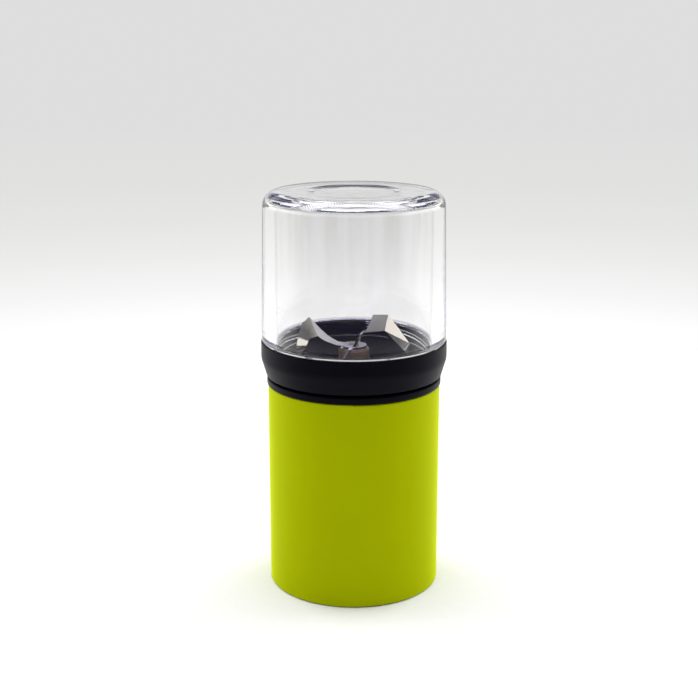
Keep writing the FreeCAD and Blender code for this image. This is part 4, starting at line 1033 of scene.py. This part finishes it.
# %% Contact line
contact_sizes = {
    "Count": 11,
    "Spacing": 0.5 * MM,
    "Strip width": 0.24 * MM,
    "Strip thickness": 0.05 * MM,
    "Half tongue": 0.37 * MM,
    "Level": sum(corner[2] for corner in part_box("charging_socket")) / 2,
    "Metal": nickel,
}
contact_path = ((27.4, 0), (29.0, 0.01), (31.6, 0.01), (32.4, 0.03), (32.9, -0.01), (33.1, -0.03))
contact_line = poly_line("contact_line", [(0, y * MM, z * MM) for y, z in contact_path])
print("contacts lie at a height of", contact_sizes["Level"], "m")

# %% Contact tree
tree, sizes = new_shape_tree("socket_contacts", contact_sizes)
section = add(tree, "GeometryNodeCurvePrimitiveQuadrilateral", {
    0: sizes["Strip thickness"], 1: sizes["Strip width"],
})
strip = add(tree, "GeometryNodeCurveToMesh", {
    "Curve": sizes["Geometry"], "Profile Curve": section.outputs[0], "Fill Caps": True,
})
gap = add(tree, "ShaderNodeCombineXYZ", {0: sizes["Spacing"]})
known = {item.name: item for item in sizes}
rule = (
    ("gaps", "SUBTRACT", "Count", 1.0),
    ("half row", "MULTIPLY", "gaps", -0.5),
    ("first", "MULTIPLY", "half row", "Spacing"),
    ("upper", "MULTIPLY_ADD", "Half tongue", 1.0, "Level"),
    ("lower", "MULTIPLY_ADD", "Half tongue", -1.0, "Level"),
)
for name, operation, *values in rule:
    inputs = {i: known.get(value, value) for i, value in enumerate(values)}
    known[name] = add(tree, "ShaderNodeMath", inputs, operation=operation).outputs[0]
both = add(tree, "GeometryNodeJoinGeometry")
for level, turn in (("upper", 0), ("lower", math.pi)):
    start = add(tree, "ShaderNodeCombineXYZ", {0: known["first"], 2: known[level]})
    row = add(tree, "GeometryNodeMeshLine", {
        "Count": sizes["Count"], "Start Location": start.outputs[0], "Offset": gap.outputs[0],
    })
    strips = add(tree, "GeometryNodeInstanceOnPoints", {
        "Points": row.outputs[0], "Instance": strip.outputs[0], "Rotation": (0, turn, 0),
    })
    tree.links.new(strips.outputs[0], both.inputs[0])
end_tree(tree, both.outputs[0], sizes["Metal"])

# %% Contacts
contacts = grow("socket_contacts", tree, contact_line, contact_sizes)
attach(contacts, "base")

# %% [markdown]
# ## Press springs
# Three short coil springs carry the press ring. When the cup is pressed down they get shorter.
# A copy of the imported coils is joined up and gets a mesh of its own.

# %% Press springs
FLAT_WIRE = math.radians(0.1)
springs = merged_copy("press_springs", "coiled_press_springs", FLAT_WIRE)
springs.data.materials.append(zinc_steel)
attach(springs, "base")
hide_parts("press_springs")
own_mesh(springs)

# %% [markdown]
# ## Moulded plastics and rubbers
# The housing is injection moulded. Its colour is dyed through, so it hardly changes over a piece, but
# the mould leaves a fine pebble on the skin and slow changes of gloss where the melt cooled sooner.
# The pebble is really about a tenth of a millimetre and is drawn at about three tenths. The sleeve
# is satin green ABS, the collar and the deck are satin black, hidden pieces are duller nylon, seals
# and feet are rubber, and the cells wear a shrunk blue film with a slow ripple. Three more values tune
# how a skin takes light: gloss is how strongly it mirrors, shine is the tint of what it mirrors, and
# bloom is the bright haze of a soft skin where it turns away from the eye.

# %% Moulded helper
BLOOM_ROUGHNESS = 0.3


def moulded(
    name, tone, roughness, ior, cloud, grain, depth, contrast=0.03, spread=0.04,
    gloss=0.5, shine="#ffffff", bloom=0.0, bloom_tone="#ffffff",
):
    """Moulded plastic or rubber: sizes of gloss clouds and skin grain in mm, grain depth in mm."""
    material, tree, place = new_material(name)
    clouds, pebble = [add(tree, "ShaderNodeTexNoise", {
        "Vector": place, "Scale": 1 / (size * MM), "Detail": detail,
    }).outputs["Fac"] for size, detail in ((cloud, 3.0), (grain, 1.0))]
    coat(tree, tone, contrast, roughness, spread, clouds, pebble, depth, {
        "IOR": ior, "Specular IOR Level": gloss, "Specular Tint": linear(shine),
        "Sheen Weight": bloom, "Sheen Roughness": BLOOM_ROUGHNESS, "Sheen Tint": linear(bloom_tone),
    })
    return material


# %% Plastics and rubbers
green_abs = moulded(
    "green_abs_satin_moulded", "#a7b300", 0.48, 1.53, cloud=30, grain=0.3, depth=0.006,
    gloss=0.01, bloom=1.0, bloom_tone="#e4f600",
)
black_abs = moulded(
    "black_abs_satin_moulded", "#07070c", 0.4, 1.53, cloud=18, grain=0.3, depth=0.006,
    gloss=0.07, shine="#dfddff",
)
black_nylon = moulded(
    "black_nylon_moulded", "#3d3d40", 0.5, 1.53, cloud=5, grain=0.3, depth=0.01, contrast=0.08,
)
grey_nylon = moulded(
    "grey_nylon_glass_filled", "#9fa1a1", 0.55, 1.53, cloud=3, grain=0.35, depth=0.02, contrast=0.08,
)
chip_epoxy = moulded(
    "black_epoxy_moulded", "#26272a", 0.5, 1.55, cloud=1.5, grain=0.15, depth=0.01, contrast=0.12,
)
nitrile = moulded(
    "nitrile_rubber_moulded", "#262626", 0.72, 1.52, cloud=6, grain=0.25, depth=0.015,
    contrast=0.15, spread=0.08,
)
silicone = moulded(
    "black_silicone_moulded", "#101012", 0.7, 1.41, cloud=6, grain=0.25, depth=0.01,
    contrast=0.15, gloss=0.1,
)
foot_rubber = moulded(
    "soft_rubber_moulded", "#303031", 0.78, 1.52, cloud=8, grain=0.4, depth=0.03,
    contrast=0.18, spread=0.08,
)
cell_wrap = moulded(
    "pvc_shrink_wrap_blue", "#4680ab", 0.3, 1.54, cloud=4, grain=1.2, depth=0.03, contrast=0.08,
)

# %% [markdown]
# ## Collar bowl
# The outside of the collar is satin, but the bowl inside it is moulded dull, so that it hides
# scratches. A copy of the black plastic takes a second roughness where the radius is small enough
# and the height is above the skirt. Dull black shows hardly any of the room at a flat angle, so the
# bright blade stands out against it.

# %% Collar bowl
BOWL_RADIUS, BOWL_FLOOR, BOWL_ROUGHNESS = 36.2 * MM, 93.0 * MM, 1.0

collar_abs = black_abs.copy()
collar_abs.name = "black_abs_dull_bowl_moulded"
tree = collar_abs.node_tree
skin = tree.nodes["Principled BSDF"]
satin = skin.inputs["Roughness"].links[0].from_socket
known = axes_and_radius(tree, add(tree, "ShaderNodeTexCoord").outputs["Object"])
inner = add(tree, "ShaderNodeMath", {0: known["radius"], 1: BOWL_RADIUS}, operation="LESS_THAN")
upper = add(tree, "ShaderNodeMath", {0: known["z"], 1: BOWL_FLOOR}, operation="GREATER_THAN")
bowl = add(tree, "ShaderNodeMath", {0: inner.outputs[0], 1: upper.outputs[0]}, operation="MULTIPLY")
dull = add(tree, "ShaderNodeMix", {0: bowl.outputs[0], 2: satin, 3: BOWL_ROUGHNESS})
tree.links.new(dull.outputs[0], skin.inputs["Roughness"])
print("collar bowl is dull within", BOWL_RADIUS / MM, "mm")

# %% [markdown]
# ## Light pipe
# The charge light is led to the back by a rod of clear acrylic with a ground end.

# %% Light pipe
acrylic = clear_plastic(
    "acrylic_clear_moulded", "#f4faf4", "#e6efe6", ior=1.49, roughness=0.12,
    around=1.0, along=1.0, depth=0.01,
)

# %% [markdown]
# ## Motor windings and core
# These pieces never show from outside, but the part can be opened, so each gets its own finish: thin
# steel sheets stacked into the core, enamelled copper wire wound side by side, and copper bars of the
# commutator. Bands up the axis draw the sheets and wires. They are drawn about six times wider than
# the real pitch, because the real ones would be too fine to show.

# %% Banded helper
WAVE_RATE = 20
BAND_DULL = 0.06


def banded(name, tone, roughness, pitch, depth, contrast):
    """Even bands up the axis, such as stacked sheets or wires; the pitch is in mm."""
    material, tree, place = new_material(name)
    bands = add(tree, "ShaderNodeTexWave", {
        "Vector": place, "Scale": 1 / (pitch * MM) / WAVE_RATE,
        "Distortion": 0.6, "Detail": 1.0, "Detail Scale": 2.0,
    }, bands_direction="Z").outputs["Fac"]
    coat(tree, tone, contrast, roughness + BAND_DULL, -BAND_DULL, bands, bands, depth, METAL)
    return material


core_steel = banded("steel_sheets_stacked", "#8a8b8e", 0.4, pitch=0.5, depth=0.05, contrast=0.25)
copper_wire = banded("copper_wire_enamelled", "#c07c52", 0.28, pitch=0.35, depth=0.08, contrast=0.25)
copper_bars = banded("copper_bars_turned", "#cf8d66", 0.3, pitch=0.15, depth=0.01, contrast=0.1)

# %% [markdown]
# ## Foam, board and leads
# The cells sit on closed-cell foam, whose skin shows small round cells. The board is glass laminate
# under green solder mask, with lighter copper tracks running below the mask. The leads are soft
# insulated wire in pairs, red on one side and black on the other.

# %% Foam
FOAM_CELL, FOAM_DEPTH = 0.5 * MM, 0.1 * MM

foam, tree, place = new_material("foam_closed_cell")
cells = add(tree, "ShaderNodeTexVoronoi", {"Vector": place, "Scale": 1 / FOAM_CELL}).outputs["Distance"]
dark, light = shades("#454545", 0.25)
colour = add(tree, "ShaderNodeMix", {0: cells, 6: light, 7: dark}, **COLOUR)
bump = add(tree, "ShaderNodeBump", {
    "Height": cells, "Strength": 1.0, "Distance": FOAM_DEPTH,
}, invert=True)
skin = add(tree, "ShaderNodeBsdfPrincipled", {
    "Base Color": colour.outputs[2], "Roughness": 0.9, "Normal": bump.outputs[0],
})
add(tree, "ShaderNodeOutputMaterial", {"Surface": skin.outputs[0]})

# %% Board
TRACK_UNIT, TRACK_DEPTH = 1.0 * MM, 0.03 * MM

board, tree, place = new_material("glass_laminate_green_mask")
upright = add(tree, "ShaderNodeMapping", {"Vector": place, "Rotation": (math.radians(90), 0, 0)})
tracks = add(tree, "ShaderNodeTexBrick", {
    "Vector": upright.outputs[0], "Scale": 1 / TRACK_UNIT,
    "Color1": linear("#1d5c33"), "Color2": linear("#21653a"), "Mortar": linear("#3d8a55"),
    "Mortar Size": 0.12, "Brick Width": 6.0, "Row Height": 0.9,
})
bump = add(tree, "ShaderNodeBump", {
    "Height": tracks.outputs["Fac"], "Strength": 1.0, "Distance": TRACK_DEPTH,
})
mask = add(tree, "ShaderNodeBsdfPrincipled", {
    "Base Color": tracks.outputs["Color"], "Roughness": 0.35, "Normal": bump.outputs[0],
})
add(tree, "ShaderNodeOutputMaterial", {"Surface": mask.outputs[0]})

# %% Leads
WIRE_MOTTLE = 1.5 * MM
WIRE_TONES = (("#202022", "#2c2c2e"), ("#a8231c", "#bd3027"))

leads, tree, place = new_material("pvc_insulated_wire")
across = add(tree, "ShaderNodeSeparateXYZ", {0: place}).outputs["X"]
side = add(tree, "ShaderNodeMath", {0: across, 1: 0.0}, operation="GREATER_THAN")
mottle = add(tree, "ShaderNodeTexNoise", {
    "Vector": place, "Scale": 1 / WIRE_MOTTLE, "Detail": 2.0,
}).outputs["Fac"]
black, red = [add(tree, "ShaderNodeMix", {
    0: mottle, 6: linear(dark), 7: linear(light),
}, **COLOUR).outputs[2] for dark, light in WIRE_TONES]
colour = add(tree, "ShaderNodeMix", {0: side.outputs[0], 6: black, 7: red}, **COLOUR)
rough = add(tree, "ShaderNodeMapRange", {"Value": mottle, "To Min": 0.38, "To Max": 0.5})
skin = add(tree, "ShaderNodeBsdfPrincipled", {
    "Base Color": colour.outputs[2], "Roughness": rough.outputs[0], "IOR": 1.53,
})
add(tree, "ShaderNodeOutputMaterial", {"Surface": skin.outputs[0]})

# %% [markdown]
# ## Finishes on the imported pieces
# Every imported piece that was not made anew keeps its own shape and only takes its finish. The table
# names the pieces of each finish, and the loop refuses to leave one out.

# %% Give the finishes
finishes = (
    (green_abs, "body_sleeve"),
    (black_abs, "top_deck bottom_cover press_ring"),
    (collar_abs, "blade_collar"),
    (black_nylon, "driven_coupling drive_coupling"),
    (grey_nylon, "motor_bracket tie_posts cell_tray switch_plunger"),
    (chip_epoxy, "board_parts micro_switch motor_end_cap"),
    (nitrile, "deck_seal shaft_seal deck_shaft_seal"),
    (foot_rubber, "foot_ring"),
    (silicone, "jar_gasket"),
    (acrylic, "charge_light_pipe"),
    (blasted_steel, "bearing_sleeve"),
    (turned_steel, "thrust_washer blade_shaft motor_shaft"),
    (zinc_steel, "sleeve_nut retaining_clip press_leg_clips motor_screws"),
    (motor_steel, "motor_can charging_socket"),
    (nickel, "motor_terminals battery_tabs"),
    (bronze, "upper_bushing lower_bushing motor_bushings"),
    (ferrite, "motor_magnets"),
    (carbon, "motor_brushes"),
    (core_steel, "armature_core"),
    (copper_wire, "armature_windings"),
    (copper_bars, "commutator"),
    (cell_wrap, "battery_cells"),
    (foam, "cell_pads"),
    (board, "control_board"),
    (leads, "motor_leads cell_leads switch_leads"),
)
made_anew = {"jar", "blade", "deck_screws", "bottom_screws", "press_springs"}
finished = set()
for material, names in finishes:
    for name in names.split():
        slots = nodes[name].data.materials
        slots.clear()
        slots.append(material)
        finished.add(name)
missing = set(nodes) - finished - made_anew
assert not missing, f"no finish for {sorted(missing)}"
print("finishes on", len(finished), "packed pieces")
